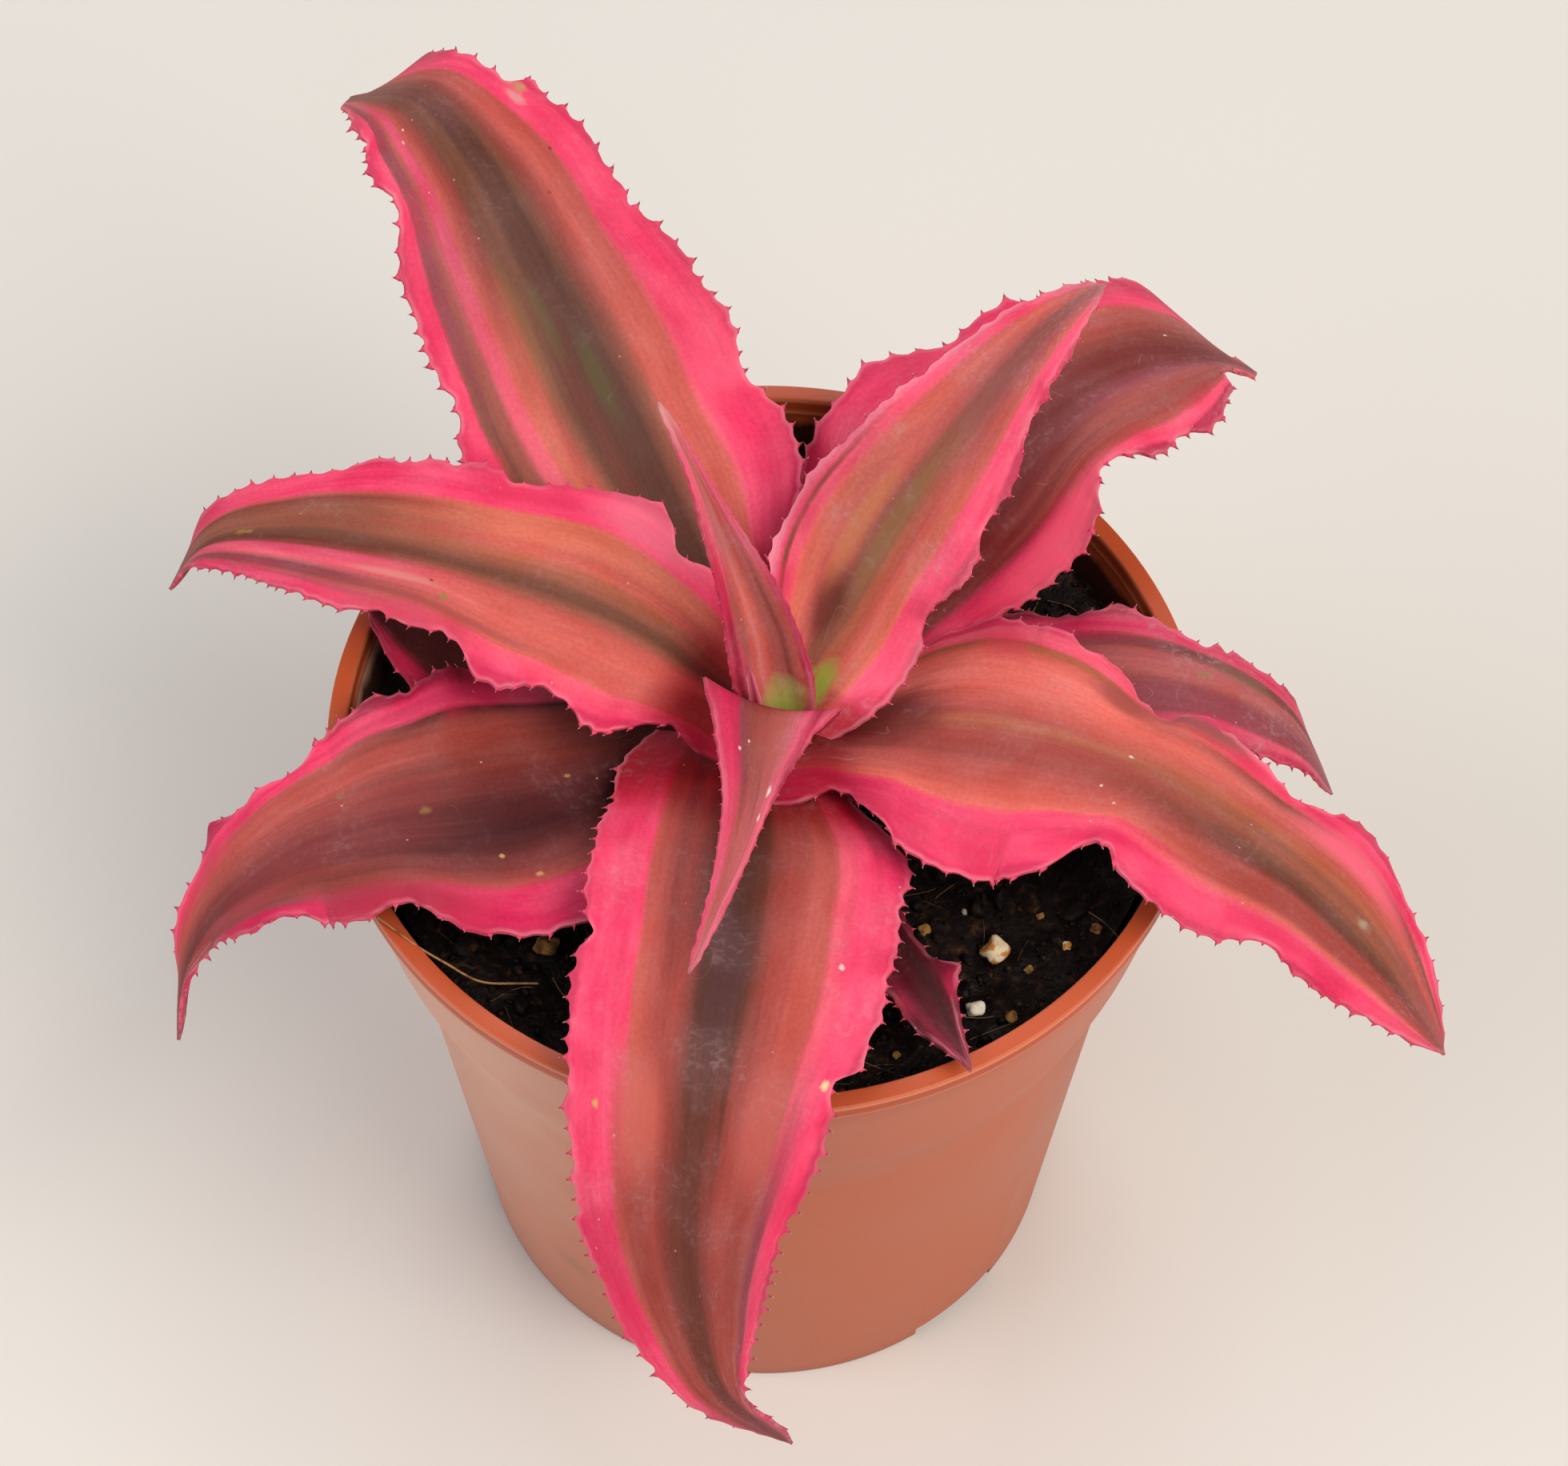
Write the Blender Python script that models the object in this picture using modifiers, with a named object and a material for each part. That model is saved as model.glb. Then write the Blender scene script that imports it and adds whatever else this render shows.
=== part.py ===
# Potted earth star: a rosette of spiny-edged leaves in a tapered nursery pot.
# Metres, +Z up. The origin is on the pot's axis, on the surface that the pot stands on.

import math

import bmesh
import bpy
import numpy as np
from mathutils import Matrix, Vector, noise
from mathutils.geometry import delaunay_2d_cdt

MM = 0.001

# Pot: driving dimensions
POT_HEIGHT = 86 * MM
RIM_RADIUS = 45 * MM
RIM_WIDTH = 1.9 * MM
LIP_HEIGHT = 2 * MM
LIP_OVERHANG = 1.1 * MM
LIP_EDGE = 0.5 * MM
LIP_UNDERCUT = 0.3 * MM
SHOULDER_HEIGHT = 59.6 * MM
SHOULDER_RADIUS = 38.25 * MM
BASE_RADIUS = 34 * MM
WALL = 1 * MM
FLOOR = 1.2 * MM
FOOT_HEIGHT = 2 * MM
FOOT_WIDTH = 3 * MM
PAD_RADIUS = 11 * MM
DRAIN_RADIUS = 3 * MM
DRAIN_CIRCLE = 22 * MM
DRAIN_COUNT = 6
NOTCH_WIDTH = 12 * MM
NOTCH_COUNT = 3
NOTCH_HEADING = math.radians(-48)
POT_STEPS = 48

# Soil and crown: driving dimensions
GAP = 0.3 * MM
SOIL_TOP = 78 * MM
SOIL_LUMP = 1.1 * MM
SOIL_GRAIN = 5 * MM
SOIL_RINGS = 6
CROWN_FOOT = 70 * MM
CROWN_RADIUS = 5.5 * MM
CROWN_SHOULDER = 86 * MM
CROWN_NECK = 91 * MM
CROWN_NECK_RADIUS = 2.6 * MM
CROWN_TOP = 92 * MM

# Leaves: what they share
BLADE = 0.8 * MM
TOOTH = 1 * MM
TOOTH_BASE = 1.3 * MM
TOOTH_LEAN = 0.25 * MM
TOOTH_SPACING = 4 * MM
FIRST_TOOTH = 2.5 * MM
LAST_TOOTH = MM
ROW_SPACING = 4 * MM
COLUMNS = (-0.68, -0.34, 0, 0.34, 0.68)

# Leaves: a compass heading in degrees, then stations along the midrib in millimetres, each as
# (out from the axis, aside to the left, height, half-width to the left, half-width to the right).
# Left is as seen from the axis. Tilt raises the left edge, in degrees. Channel lifts both edges, as a
# share of the half-width. Wave is the height of the ruffles in millimetres, with their length and phase.
LEAVES = {
    "leaf_low_left": dict(
        heading=168, tilt=0, channel=0.08, wave=0.5, wavelength=17, phase=0.5,
        stations=[
            (6, -3, 80.4, 4, 4),
            (16.5, -5, 81.8, 8.5, 8),
            (26.5, -4.5, 84, 9, 9),
            (35, -4, 86.2, 7.5, 7),
            (42.5, -5, 88.4, 0.5, 0.5),
        ],
    ),
    "leaf_low_front": dict(
        heading=299, tilt=0, channel=0.1, wave=0.4, wavelength=15, phase=0,
        stations=[
            (6.1, 2, 80.4, 3.5, 3.5),
            (17.5, 1, 82.3, 4.5, 6.5),
            (30, -0.5, 85, 3.6, 6),
            (39, -1.5, 87.4, 1.6, 2.6),
            (46, -2.5, 88.3, 0.3, 0.3),
        ],
    ),
    "leaf_low_right": dict(
        heading=3, tilt=0, channel=-0.05, wave=0.5, wavelength=16, phase=1,
        stations=[
            (6, 2, 81.2, 3.5, 4),
            (19, 5.5, 83.8, 5.5, 8),
            (29.5, 5.5, 87.1, 7.5, 9.3),
            (39.5, 4.2, 88.7, 5.8, 8.6),
            (47.5, 1.7, 87.7, 5.2, 7),
            (54.5, -0.7, 83, 4.2, 5),
            (59.5, -4, 75, 0.3, 0.3),
        ],
    ),
    "leaf_lower_left": dict(
        heading=205, tilt=0, channel=0.03, wave=1.2, wavelength=18, phase=2.4,
        stations=[
            (6, -2, 82.6, 4, 4),
            (17, -1.5, 85.3, 11, 13),
            (29, -1, 88.8, 16.3, 15.2),
            (34, -1.5, 89.8, 15, 15.5),
            (39, -2.3, 90.5, 11.5, 14),
            (44, -3, 90.5, 10, 10.8),
            (48, -4, 89.5, 9.3, 8.5),
            (55.5, -4, 86, 5.4, 6.5),
            (61.5, -4, 78.5, 1.4, 3.2),
            (66, -0.5, 68, 0.3, 0.3),
        ],
    ),
    "leaf_back_broad": dict(
        heading=42, tilt=0, channel=0.04, wave=1, wavelength=24, phase=1,
        stations=[
            (6, 0.8, 83.2, 4, 4),
            (14, 2, 84.6, 9, 7),
            (24, 3, 89.2, 17, 10.5),
            (29, 3.4, 93, 18, 13.2),
            (38, 3.6, 97, 16, 12.6),
            (43, 3.5, 98, 14.8, 9.2),
            (47.5, 3.4, 98.5, 14.3, 11),
            (55.5, 2.2, 97.5, 12, 11),
            (63, 0, 94, 11, 5.2),
            (69, -2.6, 89.5, 3.5, 0.8),
        ],
    ),
    "leaf_front": dict(
        heading=264, tilt=-3, channel=0, wave=0.8, wavelength=26, phase=0,
        stations=[
            (6, -1.5, 85.6, 4, 9.5),
            (10, -1.5, 87.2, 9, 12),
            (17, -1.5, 90.2, 15, 13),
            (22.5, -1.5, 91.6, 17.8, 13.6),
            (33, -1.2, 93, 17, 13),
            (42, -1, 91.6, 14.5, 13),
            (49, -1, 87, 11.8, 12.4),
            (54.5, -0.8, 79, 8.6, 11),
            (58, 0.3, 69, 6.4, 8.2),
            (61.5, 3, 59, 2, 4.8),
            (63.2, 10, 51, 0.3, 0.3),
        ],
    ),
    "leaf_back_left": dict(
        heading=125, tilt=-6, channel=0.08, wave=1, wavelength=26, phase=0,
        stations=[
            (5.8, -3, 86.2, 4, 4),
            (16.5, -3, 89, 8, 10),
            (23, -3.5, 91, 11, 15.5),
            (29, -4, 93.5, 13.5, 16.5),
            (39, -4.5, 100, 15.5, 16),
            (49.5, -5, 108, 14.5, 12.5),
            (59.5, -5, 114, 10, 10.2),
            (69, -4.5, 115, 9, 6),
            (79.5, -0.5, 109, 1, 1.5),
        ],
    ),
    "leaf_right": dict(
        heading=338, tilt=0, channel=-0.06, wave=1.4, wavelength=23, phase=1.3,
        stations=[
            (5.2, -0.5, 88.2, 3.5, 6.5),
            (12, 1, 90.3, 8, 9.5),
            (16, 2, 92, 12.5, 13.8),
            (20, 2.5, 93.5, 15, 16),
            (24.5, 2.8, 94.8, 14, 16.5),
            (29, 3.2, 95.5, 12.6, 16.5),
            (34, 3, 96, 9.8, 15),
            (38.5, 3, 96, 10, 10.8),
            (47, 2.5, 94.5, 10, 12.4),
            (56, 1.7, 91, 8.4, 10.2),
            (65, -0.3, 86, 6.4, 9.2),
            (75.5, -5.7, 78, 0.3, 0.3),
        ],
    ),
    "leaf_left": dict(
        heading=165, tilt=-10, channel=0.1, wave=1, wavelength=24, phase=2,
        stations=[
            (4.2, -1.5, 89.2, 8.5, 4.5),
            (12, -3, 94, 11.5, 9),
            (21, -3.5, 97, 12, 12.2),
            (31, -3.5, 98, 9.2, 10.5),
            (41.5, -4, 97, 8, 9.2),
            (53, -5, 93.5, 6.5, 7),
            (62.5, -5, 88, 3, 4.5),
            (67, -3, 81, 0.3, 0.3),
        ],
    ),
    "leaf_back_right": dict(
        heading=50, tilt=0, channel=0.12, wave=0.8, wavelength=22, phase=0,
        stations=[
            (3.6, -1.5, 90.2, 3.5, 7),
            (11, -1.5, 94.2, 8.5, 8.5),
            (17.6, -1.2, 99.5, 10.4, 9),
            (23.5, -1.6, 105, 9, 7.6),
            (29.6, -2.1, 109.5, 7.2, 7),
            (36, -2.7, 113, 5.4, 4.6),
            (42, -3.5, 115.5, 3.2, 1.8),
            (48, -4.4, 116, 0.3, 0.3),
        ],
    ),
    "leaf_centre_front": dict(
        heading=262, tilt=0, channel=0.25, wave=0.2, wavelength=14, phase=0,
        stations=[
            (4.4, 0.8, 90.3, 3.2, 3.2),
            (5.2, 1.2, 94.8, 5.6, 5.8),
            (11, 1.5, 97.3, 4.2, 4.8),
            (17, 1.7, 98.4, 2.2, 3.4),
            (24, 1.1, 98.5, 1.2, 2.2),
            (31, -0.3, 98.2, 0.6, 1.1),
            (37, -1.8, 97.6, 0.3, 0.3),
        ],
    ),
    "leaf_centre_up": dict(
        heading=112, tilt=0, channel=0.45, wave=0.1, wavelength=14, phase=0,
        stations=[
            (-1, -0.2, 92.7, 1.2, 2.4),
            (0.6, -0.2, 93.8, 3.2, 3.3),
            (2.4, -0.2, 98, 3.7, 3.6),
            (5.3, 0.6, 104, 2.5, 3.3),
            (8.4, 1.7, 110, 1.7, 2),
            (12, 2.7, 115, 0.9, 0.9),
            (15, 3.7, 118.5, 0.5, 0.5),
            (17, 4.5, 121, 0.3, 0.3),
        ],
    ),
    "leaf_bud": dict(
        heading=112, tilt=0, channel=0, wave=0, wavelength=14, phase=0,
        stations=[
            (-2.3, 1.9, 92.2, 0.8, 0.8),
            (-2.3, 2, 94.5, 0.8, 0.8),
            (-0.8, 2.2, 99, 0.3, 0.3),
        ],
    ),
}

YOUNG_LEAVES = ("leaf_centre_front", "leaf_centre_up", "leaf_bud")
DARK_LEAVES = ("leaf_low_left", "leaf_low_front", "leaf_low_right", "leaf_lower_left", "leaf_back_broad")


# Small helpers

def clear_scene():
    for obj in list(bpy.data.objects):
        bpy.data.objects.remove(obj, do_unlink=True)


def new_collection(name):
    collection = bpy.data.collections.new(name)
    bpy.context.scene.collection.children.link(collection)
    return collection


def new_material(name, colour, roughness):
    material = bpy.data.materials.new(name)
    material.use_nodes = True
    shader = material.node_tree.nodes["Principled BSDF"]
    shader.inputs["Base Color"].default_value = (*colour, 1)
    shader.inputs["Roughness"].default_value = roughness
    shader.inputs["Metallic"].default_value = 0
    return material


def new_object(name, mesh, collection, material=None):
    obj = bpy.data.objects.new(name, mesh)
    collection.objects.link(obj)
    if material:
        mesh.materials.append(material)
    return obj


def turned(name, profile, steps, collection, material):
    """An object turned about Z from a profile of (radius, height) points."""
    mesh = bpy.data.meshes.new(name)
    points = [(radius, 0, height) for radius, height in profile]
    mesh.from_pydata(points, [(i, i + 1) for i in range(len(points) - 1)], [])
    obj = new_object(name, mesh, collection, material)
    screw = obj.modifiers.new("Turn", "SCREW")
    screw.steps = steps
    screw.render_steps = steps
    screw.use_merge_vertices = True
    screw.merge_threshold = 0.00001
    return obj


def apply_modifiers(obj):
    graph = bpy.context.evaluated_depsgraph_get()
    mesh = bpy.data.meshes.new_from_object(obj.evaluated_get(graph))
    obj.modifiers.clear()
    obj.data = mesh


def cutter(name, mesh, collection):
    obj = new_object(name, mesh, collection)
    obj.hide_render = True
    obj.display_type = "WIRE"
    return obj


def cut(obj, tool):
    boolean = obj.modifiers.new(tool.name, "BOOLEAN")
    boolean.operation = "DIFFERENCE"
    boolean.object = tool


# Pot

def wall_radius(height):
    """Outer radius of the wall under the lip: two tapers that meet at the shoulder."""
    lip_radius = RIM_RADIUS - LIP_OVERHANG
    lip_foot = POT_HEIGHT - LIP_HEIGHT
    if height > SHOULDER_HEIGHT:
        share = (height - SHOULDER_HEIGHT) / (lip_foot - SHOULDER_HEIGHT)
        return SHOULDER_RADIUS + share * (lip_radius - SHOULDER_RADIUS)
    return BASE_RADIUS + height / SHOULDER_HEIGHT * (SHOULDER_RADIUS - BASE_RADIUS)


def pot_profile():
    floor_top = FOOT_HEIGHT + FLOOR
    inner_rim = RIM_RADIUS - RIM_WIDTH
    lip_foot = POT_HEIGHT - LIP_HEIGHT
    inside = [
        (0, floor_top),
        (wall_radius(floor_top) - WALL, floor_top),
        (SHOULDER_RADIUS - WALL, SHOULDER_HEIGHT),
        (wall_radius(lip_foot) - WALL, lip_foot),
        (inner_rim, POT_HEIGHT - LIP_EDGE),
    ]
    lip = [
        (inner_rim + LIP_EDGE, POT_HEIGHT),
        (RIM_RADIUS - LIP_EDGE, POT_HEIGHT),
        (RIM_RADIUS, POT_HEIGHT - LIP_EDGE),
        (RIM_RADIUS, lip_foot + LIP_UNDERCUT),
        (RIM_RADIUS - LIP_UNDERCUT, lip_foot),
        (wall_radius(lip_foot), lip_foot),
    ]
    outside = [
        (SHOULDER_RADIUS, SHOULDER_HEIGHT),
        (wall_radius(LIP_EDGE), LIP_EDGE),
        (BASE_RADIUS - LIP_EDGE, 0),
    ]
    underside = [
        (BASE_RADIUS - FOOT_WIDTH, 0),
        (BASE_RADIUS - FOOT_WIDTH, FOOT_HEIGHT),
        (PAD_RADIUS, FOOT_HEIGHT),
        (PAD_RADIUS, 0),
        (0, 0),
    ]
    return inside + lip + outside + underside


def drain_holes(collection):
    mesh = bmesh.new()
    for k in range(DRAIN_COUNT):
        turn = Matrix.Rotation(k * math.tau / DRAIN_COUNT, 4, "Z")
        place = turn @ Matrix.Translation((DRAIN_CIRCLE, 0, FOOT_HEIGHT))
        bmesh.ops.create_cone(mesh, cap_ends=True, segments=12, radius1=DRAIN_RADIUS,
                              radius2=DRAIN_RADIUS, depth=6 * MM, matrix=place)
    data = bpy.data.meshes.new("drain_holes")
    mesh.to_mesh(data)
    mesh.free()
    return cutter("drain_holes", data, collection)


def foot_notches(collection):
    mesh = bmesh.new()
    size = Matrix.Diagonal((3 * FOOT_WIDTH, NOTCH_WIDTH, 2 * FOOT_HEIGHT, 1))
    for k in range(NOTCH_COUNT):
        turn = Matrix.Rotation(NOTCH_HEADING + k * math.tau / NOTCH_COUNT, 4, "Z")
        place = turn @ Matrix.Translation((BASE_RADIUS - FOOT_WIDTH / 2, 0, 0))
        bmesh.ops.create_cube(mesh, size=1, matrix=place @ size)
    data = bpy.data.meshes.new("foot_notches")
    mesh.to_mesh(data)
    mesh.free()
    return cutter("foot_notches", data, collection)


def make_pot(collection, cutters):
    plastic = new_material("pot_plastic", (0.50, 0.155, 0.085), 0.55)
    pot = turned("pot", pot_profile(), POT_STEPS, collection, plastic)
    cut(pot, drain_holes(cutters))
    cut(pot, foot_notches(cutters))
    return pot


# Soil and crown

def soil_profile():
    """Up the plain hole that the crown stands in, out over the top, and down the pot's inner wall."""
    hole = CROWN_RADIUS + GAP
    bottom = FOOT_HEIGHT + FLOOR + GAP
    clear = WALL + GAP
    reach = wall_radius(SOIL_TOP) - clear
    rings = [hole + (reach - hole) * k / SOIL_RINGS for k in range(SOIL_RINGS + 1)]
    return (
        [(0, CROWN_FOOT - GAP), (hole, CROWN_FOOT - GAP)]
        + [(radius, SOIL_TOP) for radius in rings]
        + [(SHOULDER_RADIUS - clear, SHOULDER_HEIGHT)]
        + [(wall_radius(bottom) - clear, bottom), (0, bottom)]
    )


def make_soil(collection):
    mix = new_material("potting_mix", (0.012, 0.009, 0.007), 0.95)
    soil = turned("soil", soil_profile(), POT_STEPS, collection, mix)
    apply_modifiers(soil)
    rim = wall_radius(SOIL_TOP) - WALL - MM
    for vertex in soil.data.vertices:
        if vertex.co.z > SOIL_TOP - MM and vertex.co.xy.length < rim:
            vertex.co.z += SOIL_LUMP * noise.noise(vertex.co / SOIL_GRAIN)
    return soil


def make_crown(collection):
    stem = new_material("crown_stem", (0.20, 0.22, 0.07), 0.6)
    profile = [
        (0, CROWN_TOP),
        (CROWN_NECK_RADIUS * 0.8, CROWN_TOP - 0.2 * MM),
        (CROWN_NECK_RADIUS, CROWN_NECK),
        (CROWN_RADIUS, CROWN_SHOULDER),
        (CROWN_RADIUS, CROWN_FOOT + MM),
        (CROWN_RADIUS - MM, CROWN_FOOT),
        (0, CROWN_FOOT),
    ]
    return turned("crown", profile, 24, collection, stem)


# Leaves

def smooth(knots, values, at):
    """A smooth curve through values at uneven knots, read at the places in at."""
    slopes = np.gradient(values, knots, axis=0)
    i = np.clip(np.searchsorted(knots, at, side="right") - 1, 0, len(knots) - 2)
    span = (knots[i + 1] - knots[i])[:, None]
    f = (at - knots[i])[:, None] / span
    start = (1 + 2 * f) * (1 - f) ** 2 * values[i] + f * (1 - f) ** 2 * span * slopes[i]
    end = f**2 * (3 - 2 * f) * values[i + 1] - f**2 * (1 - f) * span * slopes[i + 1]
    return start + end


class Blade:
    """A leaf's shape: it bends a flat outline, measured along and across the midrib, into place."""

    def __init__(self, heading, stations, tilt, channel, wave, wavelength, phase):
        turn = math.radians(heading)
        rows = np.array(stations) * MM
        out = np.array([math.cos(turn), math.sin(turn), 0])
        self.aside = np.array([-math.sin(turn), math.cos(turn), 0])
        points = rows[:, :1] * out + rows[:, 1:2] * self.aside + rows[:, 2:3] * np.array([0, 0, 1])
        steps = np.linalg.norm(np.diff(points, axis=0), axis=1)
        self.knots = np.concatenate([[0], np.cumsum(steps)])
        self.length = self.knots[-1]
        self.points = points
        self.halves = rows[:, 3:]
        self.tilt = math.radians(tilt)
        self.channel = channel
        self.wave = wave * MM
        self.turns = math.tau / (wavelength * MM)
        self.phase = phase

    def half_widths(self, along):
        return np.maximum(smooth(self.knots, self.halves, along), 0.25 * MM)

    def bend(self, along, across):
        """Points in space for distances along the midrib and across it, left positive."""
        step = 0.1 * MM
        centre = smooth(self.knots, self.points, along)
        ahead = smooth(self.knots, self.points, np.minimum(along + step, self.length))
        behind = smooth(self.knots, self.points, np.maximum(along - step, 0))
        forward = ahead - behind
        forward /= np.linalg.norm(forward, axis=1, keepdims=True)
        side = self.aside - (forward @ self.aside)[:, None] * forward
        side /= np.linalg.norm(side, axis=1, keepdims=True)
        up = np.cross(forward, side)
        leaned = side * math.cos(self.tilt) + up * math.sin(self.tilt)
        up = up * math.cos(self.tilt) - side * math.sin(self.tilt)
        halves = self.half_widths(along)
        half = np.where(across > 0, halves[:, 0], halves[:, 1])
        share = np.clip(across / half, -1.1, 1.1)
        fade = np.sin(math.pi * np.clip(along / self.length, 0, 1)) ** 0.5
        ruffle = np.sin(self.turns * along + self.phase + np.where(across > 0, 0, math.pi))
        lift = self.channel * half * share**2 + self.wave * fade * ruffle * np.abs(share) ** 3
        return centre + leaned * across[:, None] + up * lift[:, None]


def toothed_edge(blade, side):
    """One edge from base to tip, as distances along and across, with a narrow tooth at each spine."""
    toothed = blade.length - FIRST_TOOTH - LAST_TOOTH
    count = math.floor(toothed / TOOTH_SPACING)
    spacing = toothed / max(1, count)
    along = [0.0]
    reach = [0.0]
    for k in range(count):
        place = FIRST_TOOTH + k * spacing
        along += [place - TOOTH_BASE / 2, place + TOOTH_LEAN, place + TOOTH_BASE / 2]
        reach += [0.0, TOOTH, 0.0]
    along = np.array(along)
    half = blade.half_widths(along)[:, 0 if side > 0 else 1]
    across = side * (half + np.array(reach))
    return np.append(along, blade.length), np.append(across, 0.0)


def inner_points(blade):
    """A grid inside the outline."""
    rows = max(2, round(blade.length / ROW_SPACING))
    along = np.repeat([blade.length * k / rows for k in range(1, rows)], len(COLUMNS))
    column = np.tile(COLUMNS, rows - 1)
    halves = blade.half_widths(along)
    across = column * np.where(column > 0, halves[:, 0], halves[:, 1])
    keep = (halves.min(axis=1) > 1.5 * MM) | (column == 0)
    return list(zip(along[keep], across[keep]))


def flat_blade(blade):
    """The toothed outline filled with triangles, measured along and across the midrib."""
    right = toothed_edge(blade, -1)
    left = toothed_edge(blade, 1)
    outline = list(zip(*right)) + list(zip(*left))[-2::-1] + [(0, 0)]
    flat = [Vector(point) / MM for point in outline + inner_points(blade)]
    border = [(i, (i + 1) % len(outline)) for i in range(len(outline))]
    points, _, faces, _, _, _ = delaunay_2d_cdt(flat, border, [], 1, 1e-4, False)
    points = np.array(points) * MM
    middles = points[np.array(faces)].mean(axis=1)
    under = middles[:, 1] < np.interp(middles[:, 0], *left)
    over = middles[:, 1] > np.interp(middles[:, 0], *right)
    return points, [face for face, kept in zip(faces, under & over) if kept]


def make_leaf(name, shape, collection, material):
    blade = Blade(**shape)
    points, faces = flat_blade(blade)
    mesh = bpy.data.meshes.new(name)
    mesh.from_pydata(blade.bend(points[:, 0], points[:, 1]).tolist(), [], faces)
    mesh.shade_smooth()
    leaf = new_object(name, mesh, collection, material)
    solid = leaf.modifiers.new("Thickness", "SOLIDIFY")
    solid.thickness = BLADE
    solid.offset = 0
    return leaf


def leaf_material(name):
    if name in DARK_LEAVES:
        colour = (0.25, 0.03, 0.05)
    elif name in YOUNG_LEAVES:
        colour = (0.42, 0.13, 0.11)
    else:
        colour = (0.55, 0.11, 0.10)
    return new_material(name + "_skin", colour, 0.42)


def main():
    clear_scene()
    parts = new_collection("potted_earth_star")
    cutters = new_collection("cutters")
    cutters.hide_render = True
    make_pot(parts, cutters)
    make_soil(parts)
    make_crown(parts)
    for name, shape in LEAVES.items():
        make_leaf(name, shape, parts, leaf_material(name))


main()
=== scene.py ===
# Potted earth star, dressed: a rosette of striped, spiny-edged leaves in a tapered nursery pot.
import functools
import math
import random

import bpy
import numpy as np
from mathutils import Matrix, Vector, noise


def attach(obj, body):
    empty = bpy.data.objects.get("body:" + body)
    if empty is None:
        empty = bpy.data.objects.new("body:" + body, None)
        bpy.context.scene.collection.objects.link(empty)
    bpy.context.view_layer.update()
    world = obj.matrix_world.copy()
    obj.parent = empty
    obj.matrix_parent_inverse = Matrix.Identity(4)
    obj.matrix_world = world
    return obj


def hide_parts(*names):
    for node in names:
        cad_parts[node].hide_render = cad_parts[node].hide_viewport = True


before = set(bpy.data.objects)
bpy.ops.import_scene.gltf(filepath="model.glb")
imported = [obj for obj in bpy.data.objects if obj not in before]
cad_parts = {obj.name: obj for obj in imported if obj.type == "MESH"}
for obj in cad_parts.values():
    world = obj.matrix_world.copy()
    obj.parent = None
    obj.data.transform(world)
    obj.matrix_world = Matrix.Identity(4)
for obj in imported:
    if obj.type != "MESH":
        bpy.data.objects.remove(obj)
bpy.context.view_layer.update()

mm = 0.001
print("frame loaded:", len(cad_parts), "nodes")


# Small helpers

def colour(hexText):
    # an sRGB hex value as linear red, green, blue and full alpha
    channels = [int(hexText[i:i + 2], 16) / 255 for i in (1, 3, 5)]
    linear = [c / 12.92 if c <= 0.04045 else ((c + 0.055) / 1.055) ** 2.4 for c in channels]
    return (*linear, 1)


def addNode(tree, kind, inputs=None, stops=None, out=0, **settings):
    # adds a shader node: its settings, its ramp's stops, and each input as a fixed value or a node's output
    node = tree.nodes.new("ShaderNode" + kind)
    for key, value in settings.items():
        setattr(node, key, value)
    if stops:
        elements = node.color_ramp.elements
        elements.remove(elements[1])
        for k, (place, tone) in enumerate(stops):
            element = elements[0] if k == 0 else elements.new(place)
            element.position = place
            element.color = colour(tone)
    for key, value in (inputs or {}).items():
        if isinstance(value, bpy.types.NodeSocket):
            tree.links.new(value, node.inputs[key])
        else:
            node.inputs[key].default_value = value
    return node.outputs[out]


def newMaterial(name, roughness, specular):
    # a material, the function that adds nodes to it, and its shader
    material = bpy.data.materials.new(name)
    material.use_nodes = True
    shader = material.node_tree.nodes["Principled BSDF"]
    shader.inputs["Roughness"].default_value = roughness
    shader.inputs["Specular IOR Level"].default_value = specular
    return material, functools.partial(addNode, material.node_tree), shader


def feed(shader, key, output):
    shader.id_data.links.new(output, shader.inputs[key])


def onlySelect(piece):
    bpy.ops.object.select_all(action="DESELECT")
    piece.select_set(True)
    bpy.context.view_layer.objects.active = piece


def startPiece(operator, name, **settings):
    # a primitive of its own name, with nothing else selected
    bpy.ops.object.select_all(action="DESELECT")
    operator(**settings)
    piece = bpy.context.object
    piece.name = name
    piece.data.name = name
    return piece


def startEdit(piece, action):
    # edit mode on one piece, with all of it selected or none
    onlySelect(piece)
    bpy.ops.object.mode_set(mode="EDIT")
    bpy.ops.mesh.select_all(action=action)


def smoothPiece(piece):
    onlySelect(piece)
    bpy.ops.object.shade_smooth()


def applyAll(piece):
    onlySelect(piece)
    for modifier in list(piece.modifiers):
        bpy.ops.object.modifier_apply(modifier=modifier.name)


def copyTo(piece, place):
    twin = piece.copy()
    twin.data = piece.data.copy()
    twin.matrix_world = place
    bpy.context.scene.collection.objects.link(twin)
    return twin


def joinAll(pieces, name):
    onlySelect(pieces[0])
    for piece in pieces:
        piece.select_set(True)
    bpy.ops.object.join()
    whole = bpy.context.object
    whole.name = name
    whole.data.name = name
    return whole


def finishPiece(piece, node=None):
    # the piece's place goes into its mesh, and it rides on the one body
    onlySelect(piece)
    bpy.ops.object.transform_apply(location=True, rotation=True, scale=True)
    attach(piece, "root")
    if node:
        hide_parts(node)


# Camera, light and floor

# a camera about 440 mm off that looks down on the plant, its tilt, roll and turn in degrees
view = dict(
    sensor=36, lens=82.653, clipStart=0.01, place=(1.94 * mm, -206.71 * mm, 393.12 * mm),
    tilt=33.814, roll=-0.250, turn=0.374,
)

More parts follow.
